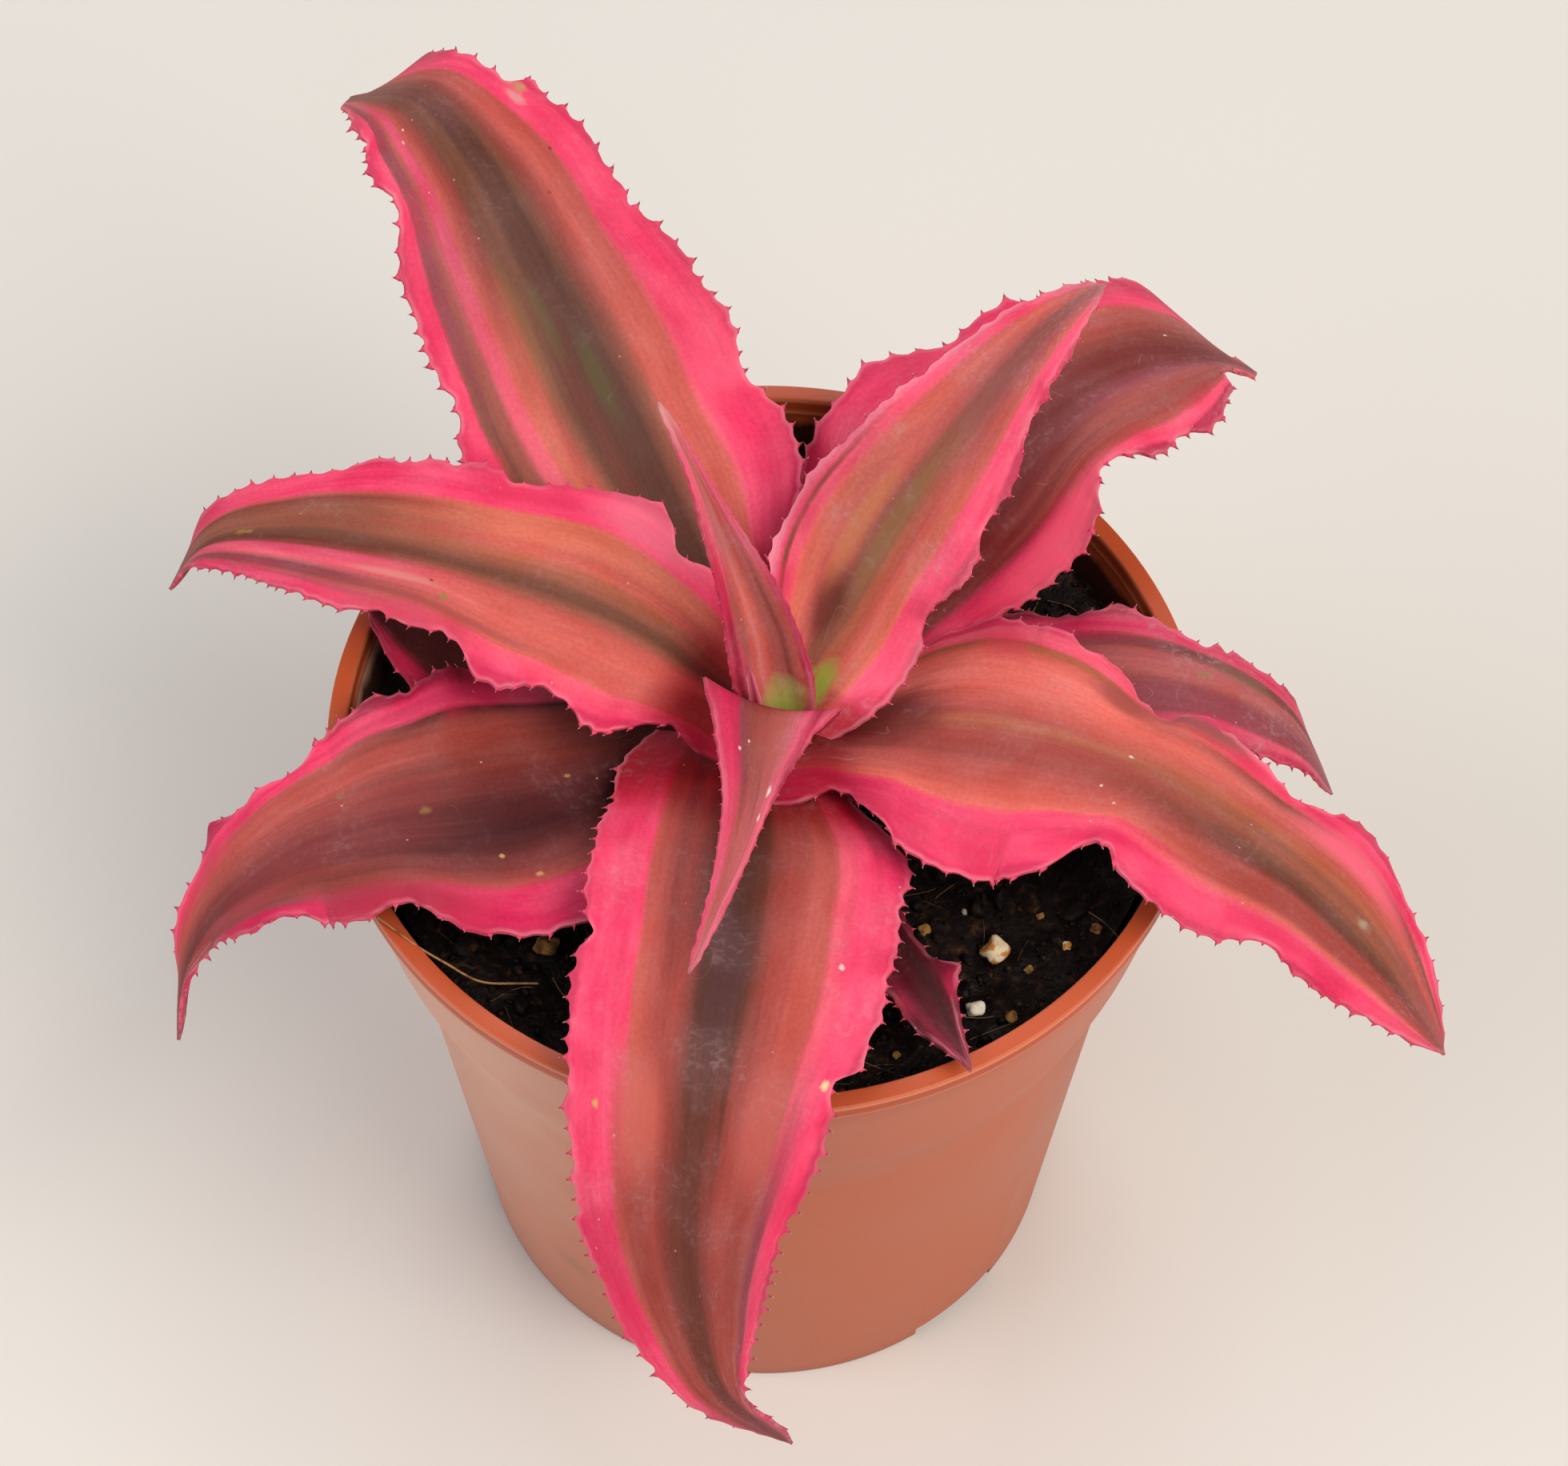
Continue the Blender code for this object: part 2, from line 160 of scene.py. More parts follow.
cameraData = bpy.data.cameras.new("camera")
cameraData.lens = view["lens"]
cameraData.sensor_width = view["sensor"]
cameraData.clip_start = view["clipStart"]
camera = bpy.data.objects.new("camera", cameraData)
bpy.context.scene.collection.objects.link(camera)
camera.location = view["place"]
camera.rotation_euler = [math.radians(view[angle]) for angle in ("tilt", "roll", "turn")]
bpy.context.scene.camera = camera
bpy.context.scene.view_settings.view_transform = "Standard"  # keeps the pinks as clean as they are

# large soft boxes: name, place in metres, width, power in watts, colour
softBoxes = (
    ("key_light", (0.55, -0.45, 1.0), 0.7, 10.2, "#FFFAF3"),
    ("left_light", (-0.75, -0.25, 0.75), 0.6, 3.4, "#F2F6FF"),
    ("back_light", (-0.1, 0.9, 0.9), 0.7, 4.2, "#FCFDFF"),
)
lightAim = Vector((0, 0, 0.06))
for name, place, width, power, tone in softBoxes:
    lightData = bpy.data.lights.new(name, "AREA")
    lightData.shape = "SQUARE"
    lightData.size = width
    lightData.energy = power
    lightData.color = colour(tone)[:3]
    light = bpy.data.objects.new(name, lightData)
    bpy.context.scene.collection.objects.link(light)
    light.location = place
    light.rotation_euler = (lightAim - light.location).to_track_quat("-Z", "Y").to_euler()

world = bpy.data.worlds.new("studio_air")
world.use_nodes = True
world.node_tree.nodes["Background"].inputs["Color"].default_value = colour("#F1F4F8")
world.node_tree.nodes["Background"].inputs["Strength"].default_value = 0.36
bpy.context.scene.world = world


def paperMaterial():
    # matt photographic paper: pale and warm, with no pattern that shows
    material, add, shader = newMaterial("matt_background_paper", 0.75, 0.25)
    place = add("TexCoord", out="Object")
    mottle = add("TexNoise", {"Vector": place, "Scale": 5, "Detail": 2})
    feed(shader, "Base Color", add("ValToRGB", {0: mottle}, stops=[(0.3, "#DDD7CE"), (0.7, "#E3DDD5")]))
    return material


floor = startPiece(bpy.ops.mesh.primitive_plane_add, "floor", size=6, location=(0, 0, -0.02 * mm))
floor.data.materials.append(paperMaterial())
print("camera, lights and floor placed")


# Pot

potShape = dict(
    height=86 * mm, rimRadius=45 * mm, rimWidth=1.9 * mm,
    lipHeight=2 * mm, lipOverhang=1.1 * mm, lipRound=0.3 * mm, undercut=0.12 * mm,
    collarRadius=44.7 * mm, collarRound=0.1 * mm, collarFoot=42 * mm, collarFootHeight=68 * mm,
    waistRadius=39.2 * mm, waistHeight=59 * mm,
    shoulderHeight=59.6 * mm, shoulderRadius=38.25 * mm, shoulderRound=2.5 * mm, baseRadius=34 * mm,
    wall=1 * mm, floor=1.2 * mm, footHeight=2 * mm, footWidth=3 * mm, padRadius=11 * mm,
    floorRound=1.2 * mm, stepRound=0.25 * mm, heelRound=0.5 * mm, footRound=0.3 * mm,
    drainRadius=3 * mm, drainDepth=6 * mm, drainCircle=22 * mm, drainCount=6,
    notchWidth=12 * mm, notchCount=3, notchHeading=math.radians(-48), steps=160,
)


def wallRadius(height):
    # two plain tapers that meet at the shoulder, which the inside of the wall and the mix follow
    pot = potShape
    lipFoot = pot["height"] - pot["lipHeight"]
    if height > pot["shoulderHeight"]:
        share = (height - pot["shoulderHeight"]) / (lipFoot - pot["shoulderHeight"])
        return pot["shoulderRadius"] + share * (pot["rimRadius"] - pot["lipOverhang"] - pot["shoulderRadius"])
    return pot["baseRadius"] + height / pot["shoulderHeight"] * (pot["shoulderRadius"] - pot["baseRadius"])


def rounded(corner, before, after, radius, count=4):
    # a rounded corner of a profile, as points
    corner, before, after = Vector(corner), Vector(before), Vector(after)
    start = corner + (before - corner).normalized() * radius
    end = corner + (after - corner).normalized() * radius
    points = []
    for k in range(count + 1):
        t = k / count
        points.append(tuple(start * (1 - t) ** 2 + corner * 2 * t * (1 - t) + end * t ** 2))
    return points


def potProfile():
    pot = potShape
    floorTop = pot["footHeight"] + pot["floor"]
    lipFoot = pot["height"] - pot["lipHeight"]
    innerRim = pot["rimRadius"] - pot["rimWidth"]
    # each corner and its rounding: up the inside, over the lip, down the collar and waist, and under the foot
    corners = [
        ((0, floorTop), 0),
        ((wallRadius(floorTop) - pot["wall"], floorTop), pot["floorRound"]),
        ((pot["shoulderRadius"] - pot["wall"], pot["shoulderHeight"]), pot["shoulderRound"]),
        ((wallRadius(lipFoot) - pot["wall"], lipFoot), pot["stepRound"]),
        ((innerRim, pot["height"]), pot["lipRound"]),
        ((pot["rimRadius"], pot["height"]), pot["lipRound"]),
        ((pot["rimRadius"], lipFoot), pot["undercut"]),
        ((pot["collarRadius"], lipFoot), pot["collarRound"]),
        ((pot["collarFoot"], pot["collarFootHeight"]), pot["shoulderRound"]),
        ((pot["waistRadius"], pot["waistHeight"]), pot["shoulderRound"]),
        ((pot["baseRadius"], 0), pot["heelRound"]),
        ((pot["baseRadius"] - pot["footWidth"], 0), pot["footRound"]),
        ((pot["baseRadius"] - pot["footWidth"], pot["footHeight"]), pot["footRound"]),
        ((pot["padRadius"], pot["footHeight"]), pot["footRound"]),
        ((pot["padRadius"], 0), pot["footRound"]),
        ((0, 0), 0),
    ]
    points = []
    for k, (corner, radius) in enumerate(corners):
        if radius:
            points += rounded(corner, corners[k - 1][0], corners[k + 1][0], radius)
        else:
            points.append(corner)
    return points


def turnedPiece(name, profile, steps):
    # a ring of points is laid out as the profile, opened on the axis and spun
    piece = startPiece(bpy.ops.mesh.primitive_circle_add, name, vertices=len(profile), radius=10 * mm)
    for vertex, (radius, height) in zip(piece.data.vertices, profile):
        vertex.co = (radius, 0, height)
        vertex.select = False
    for edge in piece.data.edges:
        edge.select = set(edge.vertices) == {0, len(profile) - 1}
    onlySelect(piece)
    bpy.ops.object.mode_set(mode="EDIT")
    bpy.ops.mesh.select_mode(type="EDGE")
    bpy.ops.mesh.delete(type="EDGE_FACE")
    bpy.ops.mesh.select_all(action="SELECT")
    bpy.ops.mesh.spin(steps=steps, angle=math.tau, center=(0, 0, 0), axis=(0, 0, 1))
    bpy.ops.mesh.select_all(action="SELECT")
    bpy.ops.mesh.remove_doubles(threshold=0.004 * mm)  # the poles and the seam
    bpy.ops.mesh.normals_make_consistent(inside=False)
    bpy.ops.mesh.select_mode(type="VERT")
    bpy.ops.object.mode_set(mode="OBJECT")
    return piece


def cutWith(piece, cutter):
    boolean = piece.modifiers.new(cutter.name, "BOOLEAN")
    boolean.operation = "DIFFERENCE"
    boolean.object = cutter
    applyAll(piece)
    bpy.data.objects.remove(cutter, do_unlink=True)


def plasticMaterial():
    # injection-moulded polypropylene in terracotta: satin and even, with painted highlights and a painted
    # shadow line at the lip
    material, add, shader = newMaterial("terracotta_polypropylene", 0.46, 0.42)
    place = add("TexCoord", out="Object")
    toRight = add("SeparateXYZ", {0: place})
    height = toRight.node.outputs[2]
    byHeight = add("MapRange", {0: height, 1: 0.0, 2: potShape["height"], 3: 0.0, 4: 1.0})
    # by height: darker at the foot; at the lip a painted shadow line just under it and painted highlight
    # lines along its lower and upper outer edges
    wall = add("ValToRGB", {0: byHeight}, stops=[
        (0.0, "#AE583A"), (0.03, "#BF623F"), (0.5, "#C3623D"), (0.69, "#C4613C"),
        (0.93, "#C9643E"), (0.965, "#C05A34"), (0.973, "#9A3E1E"), (0.9765, "#F0855A"), (0.9785, "#E67648"),
        (0.982, "#B84A24"), (0.994, "#BE4E28"), (0.9965, "#F59468"), (0.9985, "#F08A5C"), (1.0, "#C4542C")])
    cloud = add("TexNoise", {"Vector": place, "Scale": 38, "Detail": 3})  # blotches of about 25 mm
    cloudTone = add("MapRange", {0: cloud, 1: 0.3, 2: 0.7, 3: 0.95, 4: 1.05})
    tone = add("HueSaturation", {"Value": cloudTone, "Color": wall})
    speckAt = add("TexVoronoi", {"Vector": place, "Scale": 420}, out="Distance")  # specks about 2.4 mm apart
    specks = add("MapRange", {0: speckAt, 1: 0.05, 2: 0.09, 3: 0.35, 4: 0.0})
    smudgeAt = add("VectorMath", {0: place, 1: (-21.8 * mm, -28.2 * mm, 17 * mm)}, out="Value",
                   operation="DISTANCE")
    smudge = add("MapRange", {0: smudgeAt, 1: 0.6 * mm, 2: 3.2 * mm, 3: 0.4, 4: 0.0})
    # a pale painted sheen on the left side, in wisps of 11 mm up to the lip
    wisps = add("TexNoise", {"Vector": place, "Scale": 90, "Detail": 5})
    drifted = add("Math", {0: wisps, 1: -14 * mm, 2: toRight}, operation="MULTIPLY_ADD")
    toLeft = add("MapRange", {0: drifted, 1: -10 * mm, 2: -40 * mm, 3: 0.0, 4: 0.5},
                 interpolation_type="SMOOTHSTEP")
    upwards = add("MapRange", {0: height, 1: 10 * mm, 2: 60 * mm, 3: 0.35, 4: 1.0})
    underLip = add("MapRange", {0: height, 1: 83.2 * mm, 2: 83.8 * mm, 3: 1.0, 4: 0.0})
    reach = add("Math", {0: toLeft, 1: upwards}, operation="MULTIPLY")
    paintedSheen = add("Math", {0: reach, 1: underLip}, operation="MULTIPLY")
    # painted shade on the inside of the wall, dark up to a ragged tide line below the rim
    inside = add("Attribute", attribute_name="inside", out="Fac")
    tide = add("TexNoise", {"Vector": place, "Scale": 260, "Detail": 4})
    ragged = add("Math", {0: tide, 1: 3.2 * mm, 2: height}, operation="MULTIPLY_ADD")
    shadeLine = add("MapRange", {0: ragged, 1: 83.6 * mm, 2: 84.9 * mm, 3: 0.93, 4: 0.0})
    paintedInnerShade = add("Math", {0: inside, 1: shadeLine}, operation="MULTIPLY")
    # the specks and smudge are marks on the plastic; the pale sheen is painted light and the dark inside is
    # painted shade
    for mask, dirt in ((specks, "#8A4A38"), (smudge, "#7C3A2E"), (paintedSheen, "#F3CBB2"), (paintedInnerShade, "#20120C")):
        tone = add("Mix", {0: mask, 6: tone, 7: colour(dirt)}, data_type="RGBA", out=2)
    feed(shader, "Base Color", tone)
    # spark-eroded grain of 0.4 mm on the slow waves of a thin moulding
    grain = add("TexNoise", {"Vector": place, "Scale": 2600, "Detail": 2})
    waves = add("TexNoise", {"Vector": place, "Scale": 60, "Detail": 1})
    relief = add("Math", {0: waves, 1: 6.0, 2: grain}, operation="MULTIPLY_ADD")
    feed(shader, "Normal", add("Bump", {"Strength": 0.12, "Distance": 0.05 * mm, "Height": relief}))
    feed(shader, "Roughness", add("MapRange", {0: cloud, 1: 0.3, 2: 0.7, 3: 0.4, 4: 0.52}))
    return material


def makePot():
    pot = potShape
    body = turnedPiece("pot_body", potProfile(), pot["steps"])
    holes = []
    for k in range(pot["drainCount"]):
        turn = k * math.tau / pot["drainCount"]
        place = (pot["drainCircle"] * math.cos(turn), pot["drainCircle"] * math.sin(turn), pot["footHeight"])
        holes.append(startPiece(bpy.ops.mesh.primitive_cylinder_add, "drain_hole", vertices=32,
                                radius=pot["drainRadius"], depth=pot["drainDepth"], location=place))
    cutWith(body, joinAll(holes, "drain_holes"))
    notches = []
    reach = pot["baseRadius"] - pot["footWidth"] / 2
    for k in range(pot["notchCount"]):
        turn = pot["notchHeading"] + k * math.tau / pot["notchCount"]
        notches.append(startPiece(bpy.ops.mesh.primitive_cube_add, "foot_notch", size=1,
                                  rotation=(0, 0, turn),
                                  location=(reach * math.cos(turn), reach * math.sin(turn), 0),
                                  scale=(3 * pot["footWidth"], pot["notchWidth"], 2 * pot["footHeight"])))
    cutWith(body, joinAll(notches, "foot_notches"))
    onlySelect(body)
    bpy.ops.object.shade_smooth_by_angle(angle=math.radians(32))
    inside = body.data.attributes.new("inside", "FLOAT", "POINT")  # 1 on the inner wall, under the rim
    for k, vertex in enumerate(body.data.vertices):
        radius = vertex.co.xy.length
        inner = radius < wallRadius(vertex.co.z) - 0.5 * pot["wall"]
        inside.data[k].value = float(inner and vertex.co.z < pot["height"] - 1 * mm)
    body.data.materials.append(plasticMaterial())
    finishPiece(body, "pot")


makePot()
print("pot made")


# Potting mix: the bed, its crumbs and clods, grains of perlite and bark, and fibres

soilShape = dict(
    top=78.4 * mm, bottom=3.5 * mm, gap=0.3 * mm, sides=330, ringWidth=0.72 * mm, innerRadius=2 * mm,
    waves=((9 * mm, 0.9 * mm), (3.6 * mm, 0.7 * mm), (1.5 * mm, 0.42 * mm), (0.8 * mm, 0.2 * mm)),
    bank=1.7 * mm, bankStart=0.72, bankRun=0.2, levelEdge=1.5 * mm,
    clumpPlace=(35 * mm, 23 * mm, 0), clumpRadius=9 * mm, clumpHeight=2 * mm,
    jitter=0.25 * mm, jitterSize=1.1 * mm, jitterInset=0.8 * mm,
    strewnInset=2.2 * mm, bareHeart=7 * mm, seed=11,
    crumbs=2600, crumbSize=(0.35 * mm, 1.1 * mm), clods=230, clodSize=(1.1 * mm, 2.7 * mm),
    fibres=170, fibreSize=(2.5 * mm, 8 * mm), fibreShare=0.014, rootRadius=0.17 * mm,
)

# what the grains are: the material's name, its clean and stained tones, and the share that is clean
grainLooks = {
    "perlite": ("expanded_perlite", "#E4DAC6", "#B79F7C", 0.52),
    "perlite_stained": ("perlite_stained_by_tannin", "#E6D2AE", "#BC7830", 0.47),
    "perlite_grey": ("perlite_gone_grey", "#A9A294", "#6E6656", 0.5),
    "ochre": ("ochre_bark_crumb", "#9A7038", "#5A3C1C", 0.5),
}

# grains on the mix: x, y and width in millimetres, then what each is
soilGrains = (
    (23.3, -23.0, 2.7, "perlite_stained"), (21.2, -30.4, 1.9, "perlite"), (24.7, -31.3, 1.4, "ochre"),
    (30.5, -22.9, 1.0, "perlite_stained"), (33.6, -20.7, 1.2, "ochre"), (16.3, -20.3, 1.2, "ochre"),
    (26.7, -25.2, 0.9, "ochre"), (-21.8, -23.1, 2.5, "ochre"), (-29.5, -23.5, 1.3, "perlite_grey"),
    (20.4, -17.8, 0.7, "perlite_grey"), (28.1, -18.7, 0.8, "ochre"), (13.3, -35.4, 0.9, "ochre"),
    (19.0, -27.2, 0.8, "perlite_stained"), (-12.0, 34.0, 1.6, "perlite"), (20.0, 33.0, 1.3, "perlite"),
    (33.0, 16.0, 1.0, "ochre"), (-33.0, 17.0, 1.5, "perlite_grey"), (-37.0, 6.0, 1.0, "ochre"),
)

# the long root fibre, from where it lies over the rim inwards, as x, y and height in millimetres
rootPath = (
    (-38.2, -23.6, 86.3), (-36.4, -25.0, 86.35), (-34.6, -26.4, 86.2), (-33.2, -27.0, 85.3),
    (-31.0, -27.4, 83.6), (-28.8, -28.2, 82.0), (-26.8, -28.2, 81.2), (-24.6, -27.9, 81.0),
    (-22.4, -27.7, 80.6),
)


def soilHeight(x, y):
    # top of the mix: lumps of a few sizes, a clump on one side, banked up and level where it meets the pot
    soil = soilShape
    place = Vector((x, y, 0))
    edge = wallRadius(soil["top"]) - potShape["wall"] - soil["gap"]
    fade = min(1, max(0, (edge - place.length) / soil["levelEdge"]))
    lumps = sum(height * noise.noise(place / size) for size, height in soil["waves"])
    clump = max(0, 1 - (place - Vector(soil["clumpPlace"])).length / soil["clumpRadius"])
    bank = soil["bank"] * min(1, max(0, place.length / edge - soil["bankStart"]) / soil["bankRun"])
    return soil["top"] + bank + fade * (lumps + soil["clumpHeight"] * clump ** 0.7)


def soilMaterial():
    # damp peat mix: nearly black, with brown fibre and a few moist glints
    material, add, shader = newMaterial("damp_peat_mix", 0.8, 0.2)
    place = add("TexCoord", out="Object")
    fibre = add("TexNoise", {"Vector": place, "Scale": 1000, "Detail": 5, "Distortion": 0.5})
    crumb = add("ValToRGB", {0: fibre}, stops=[
        (0.3, "#070302"), (0.5, "#100705"), (0.6, "#22130A"), (0.68, "#382414"), (0.75, "#4E3A24"),
        (0.84, "#6E5A3C")])
    patch = add("TexNoise", {"Vector": place, "Scale": 160, "Detail": 4})
    dark = add("MapRange", {0: patch, 1: 0.35, 2: 0.65, 3: 0.6, 4: 1.25})
    tone = add("HueSaturation", {"Value": dark, "Color": crumb})
    feed(shader, "Base Color", tone)
    damp = add("MapRange", {0: patch, 1: 0.35, 2: 0.65, 3: 0.45, 4: 0.9})
    feed(shader, "Roughness", damp)
    fine = add("TexNoise", {"Vector": place, "Scale": 2200, "Detail": 4})
    bump = add("Bump", {"Strength": 0.8, "Distance": 0.25 * mm, "Height": fine})
    feed(shader, "Normal", bump)
    return material


def grainMaterial(name, light, stain, stainShare):
    # expanded perlite, bark and clay grains: chalky, matt and stained by the mix
    material, add, shader = newMaterial(name, 0.85, 0.3)
    place = add("TexCoord", out="Object")
    blot = add("TexNoise", {"Vector": place, "Scale": 700, "Detail": 3})
    tone = add("ValToRGB", {0: blot}, stops=[(stainShare, light), (stainShare + 0.12, stain)])
    feed(shader, "Base Color", tone)
    bump = add("Bump", {"Strength": 0.6, "Distance": 0.1 * mm, "Height": blot})
    feed(shader, "Normal", bump)
    return material


def lumpTemplate(name, fineness, rough, seed):
    # a unit lump: a ball pushed out of round
    lump = startPiece(bpy.ops.mesh.primitive_ico_sphere_add, name, subdivisions=fineness, radius=0.5)
    for vertex in lump.data.vertices:
        push = noise.noise(vertex.co * 2.1 + Vector((seed * 7.3, seed * 1.9, 0)))
        vertex.co *= 1 + rough * push
    return lump


def scatter(templates, count, sizes, draw, name, lean=1):
    # copies strewn on the mix at sizes that are mostly small, each sunk a little, and joined
    strewn = []
    edge = wallRadius(soilShape["top"]) - soilShape["strewnInset"]
    while len(strewn) < count:
        radius = edge * math.sqrt(draw.random())
        turn = draw.uniform(0, math.tau)
        size = sizes[0] + (sizes[1] - sizes[0]) * draw.random() ** 2.2
        x, y = radius * math.cos(turn), radius * math.sin(turn)
        if radius < soilShape["bareHeart"]:
            continue
        place = Matrix.Translation((x, y, soilHeight(x, y) + 0.12 * size))
        turned = draw.uniform(0, math.tau)
        spin = Matrix.Rotation(turned, 4, Vector((lean * draw.random(), lean * draw.random(), 1)))
        stretch = Matrix.Diagonal((size, size * draw.uniform(0.6, 1.0), size * draw.uniform(0.5, 0.9), 1))
        strewn.append(copyTo(draw.choice(templates), place @ spin @ stretch))
    return joinAll(strewn, name)


def removeAll(pieces):
    for piece in pieces:
        bpy.data.objects.remove(piece, do_unlink=True)


def makeBed(mix):
    soil = soilShape
    inset = potShape["wall"] + soil["gap"]
    shoulder = potShape["shoulderHeight"]
    bottomRadius = wallRadius(soil["bottom"]) - inset
    shoulderRadius = potShape["shoulderRadius"] - inset
    topRadius = wallRadius(soil["top"]) - inset
    depth = shoulder - soil["bottom"]
    bed = startPiece(bpy.ops.mesh.primitive_cylinder_add, "soil_bed", vertices=soil["sides"],
                     radius=bottomRadius, depth=depth, location=(0, 0, soil["bottom"] + depth / 2))
    bpy.ops.object.transform_apply(location=True, rotation=False, scale=False)
    # the top face is widened to the pot's shoulder, drawn up to the surface and cut into rings
    startEdit(bed, "DESELECT")
    bpy.ops.object.mode_set(mode="OBJECT")
    for face in bed.data.polygons:
        face.select = face.normal.z > 0.9
    bpy.ops.object.mode_set(mode="EDIT")
    bpy.ops.mesh.select_mode(type="FACE")
    widen = shoulderRadius / bottomRadius
    bpy.ops.transform.resize(value=(widen, widen, 1), center_override=(0, 0, shoulder))
    bpy.ops.mesh.extrude_region_move(TRANSFORM_OT_translate={"value": (0, 0, soil["top"] - shoulder)})
    widen = topRadius / shoulderRadius
    bpy.ops.transform.resize(value=(widen, widen, 1), center_override=(0, 0, soil["top"]))
    for ring in range(int((topRadius - soil["innerRadius"]) / soil["ringWidth"])):
        bpy.ops.mesh.inset(thickness=soil["ringWidth"], depth=0)
    bpy.ops.mesh.select_mode(type="VERT")
    bpy.ops.object.mode_set(mode="OBJECT")
    noise.seed_set(soil["seed"])  # without it, noise_vector takes another offset in each run
    for vertex in bed.data.vertices:
        if vertex.co.z > soil["top"] - 0.1 * mm:
            jitter = soil["jitter"] * noise.noise_vector(vertex.co / soil["jitterSize"])
            if vertex.co.xy.length < topRadius - soil["jitterInset"]:
                vertex.co.x += jitter.x
                vertex.co.y += jitter.y
            vertex.co.z = soilHeight(vertex.co.x, vertex.co.y)
    onlySelect(bed)
    bpy.ops.object.shade_smooth_by_angle(angle=math.radians(60))
    bed.data.materials.append(mix)
    finishPiece(bed, "soil")


def makeLumps(mix, draw):
    # crumbs, and fewer but larger clods, each made from four shapes of its own
    soil = soilShape
    for what, fineness, rough, seed in (("crumb", 1, 0.7, 0), ("clod", 2, 0.9, 9)):
        shapes = [lumpTemplate(what + "_shape", fineness, rough, seed + k) for k in range(4)]
        lumps = scatter(shapes, soil[what + "s"], soil[what + "Size"], draw, "soil_" + what + "s")
        lumps.data.materials.append(mix)
        smoothPiece(lumps)
        finishPiece(lumps)
        removeAll(shapes)


def makeGrains(draw):
    # the pale, stained, grey and ochre grains, one piece for each look
    shapes = [lumpTemplate("grain_shape", 3, 0.55, k + 20) for k in range(3)]
    grains = {}
    for x, y, width, look in soilGrains:
        shape = draw.choice(shapes)
        x, y, width = x * mm, y * mm, width * mm
        spin = Matrix.Rotation(draw.uniform(0, math.tau), 4, "Z")
        stretch = Matrix.Diagonal((width, width * draw.uniform(0.75, 1), width * draw.uniform(0.6, 0.85), 1))
        place = Matrix.Translation((x, y, soilHeight(x, y) + 0.3 * width))
        grains.setdefault(look, []).append(copyTo(shape, place @ spin @ stretch))
    for look, copies in grains.items():
        whole = joinAll(copies, "grains_" + look)
        whole.data.materials.append(grainMaterial(*grainLooks[look]))
        smoothPiece(whole)
        finishPiece(whole)
    removeAll(shapes)


def bentTube(name, points, radius, fineness):
    # a tube along smoothly joined points, as a mesh
    curve = bpy.data.curves.new(name, "CURVE")
    curve.dimensions = "3D"
    curve.bevel_depth = radius
    curve.bevel_resolution = fineness
    curve.resolution_u = 2 + 2 * fineness
    curve.use_fill_caps = True
    spline = curve.splines.new("NURBS")
    spline.points.add(len(points) - 1)
    for knot, point in zip(spline.points, points):
        knot.co = (*point, 1)
        knot.radius = 0.7 + 0.5 * noise.noise(Vector(point) / (3 * mm))  # thicker and thinner on its way
    spline.use_endpoint_u = True
    spline.order_u = 4
    tube = bpy.data.objects.new(name, curve)
    bpy.context.scene.collection.objects.link(tube)
    onlySelect(tube)
    bpy.ops.object.convert(target="MESH")
    return tube


def makeFibres():
    # the long root fibre, and short ones all over the mix
    root = bentTube("root_fibre", [Vector(point) * mm for point in rootPath], soilShape["rootRadius"], 2)
    root.data.materials.append(grainMaterial("dry_root_fibre", "#B58A5A", "#8A5A32", 0.5))
    finishPiece(root)
    draw = random.Random(soilShape["seed"] + 1)
    shapes = []
    for k in range(5):
        bends = [(share - 0.5, draw.uniform(-0.12, 0.12), draw.uniform(-0.04, 0.06))
                 for share in (0, 0.3, 0.7, 1)]
        shapes.append(bentTube("fibre_shape", bends, soilShape["fibreShare"], 0))
    fibres = scatter(shapes, soilShape["fibres"], soilShape["fibreSize"], draw, "soil_fibres", lean=0.15)
    fibres.data.materials.append(grainMaterial("peat_fibre", "#8A6A4A", "#3A2416", 0.52))
    finishPiece(fibres)
    removeAll(shapes)


pottingMix = soilMaterial()
soilDraw = random.Random(soilShape["seed"])
makeBed(pottingMix)
makeLumps(pottingMix, soilDraw)
makeGrains(soilDraw)
makeFibres()
print("potting mix made")


# Crown: the green heart that carries the leaves

crownShape = dict(
    neckRadius=2.6 * mm, radius=5.5 * mm, shoulder=86 * mm, neck=89.5 * mm, top=90.6 * mm, middle=80 * mm,
    foot=70 * mm, flare=((3.6 * mm, 89 * mm), (4.8 * mm, 87.2 * mm)), scarSpacing=1.6 * mm, scarDepth=0.03,
)


def crownMaterial():
    # young leaf bases: pale green flesh, flushed pink
    material, add, shader = newMaterial("leaf_base_flesh", 0.5, 0.4)
    place = add("TexCoord", out="Object")
    streaks = add("VectorMath", {0: place, 1: (900, 900, 90)}, operation="MULTIPLY")
    grain = add("TexNoise", {"Vector": streaks, "Scale": 1, "Detail": 2})
    side = add("SeparateXYZ", {0: place})
    flush = add("MapRange", {0: side, 1: -3 * mm, 2: 1 * mm, 3: 1.0, 4: 0.0})
    green = add("ValToRGB", {0: grain}, stops=[(0.3, "#8E9A44"), (0.7, "#B4B468")])
    tone = add("Mix", {0: flush, 6: green, 7: colour("#B4505A")}, data_type="RGBA", out=2)
    feed(shader, "Base Color", tone)
    bump = add("Bump", {"Strength": 0.3, "Distance": 0.1 * mm, "Height": grain})
    feed(shader, "Normal", bump)
    return material


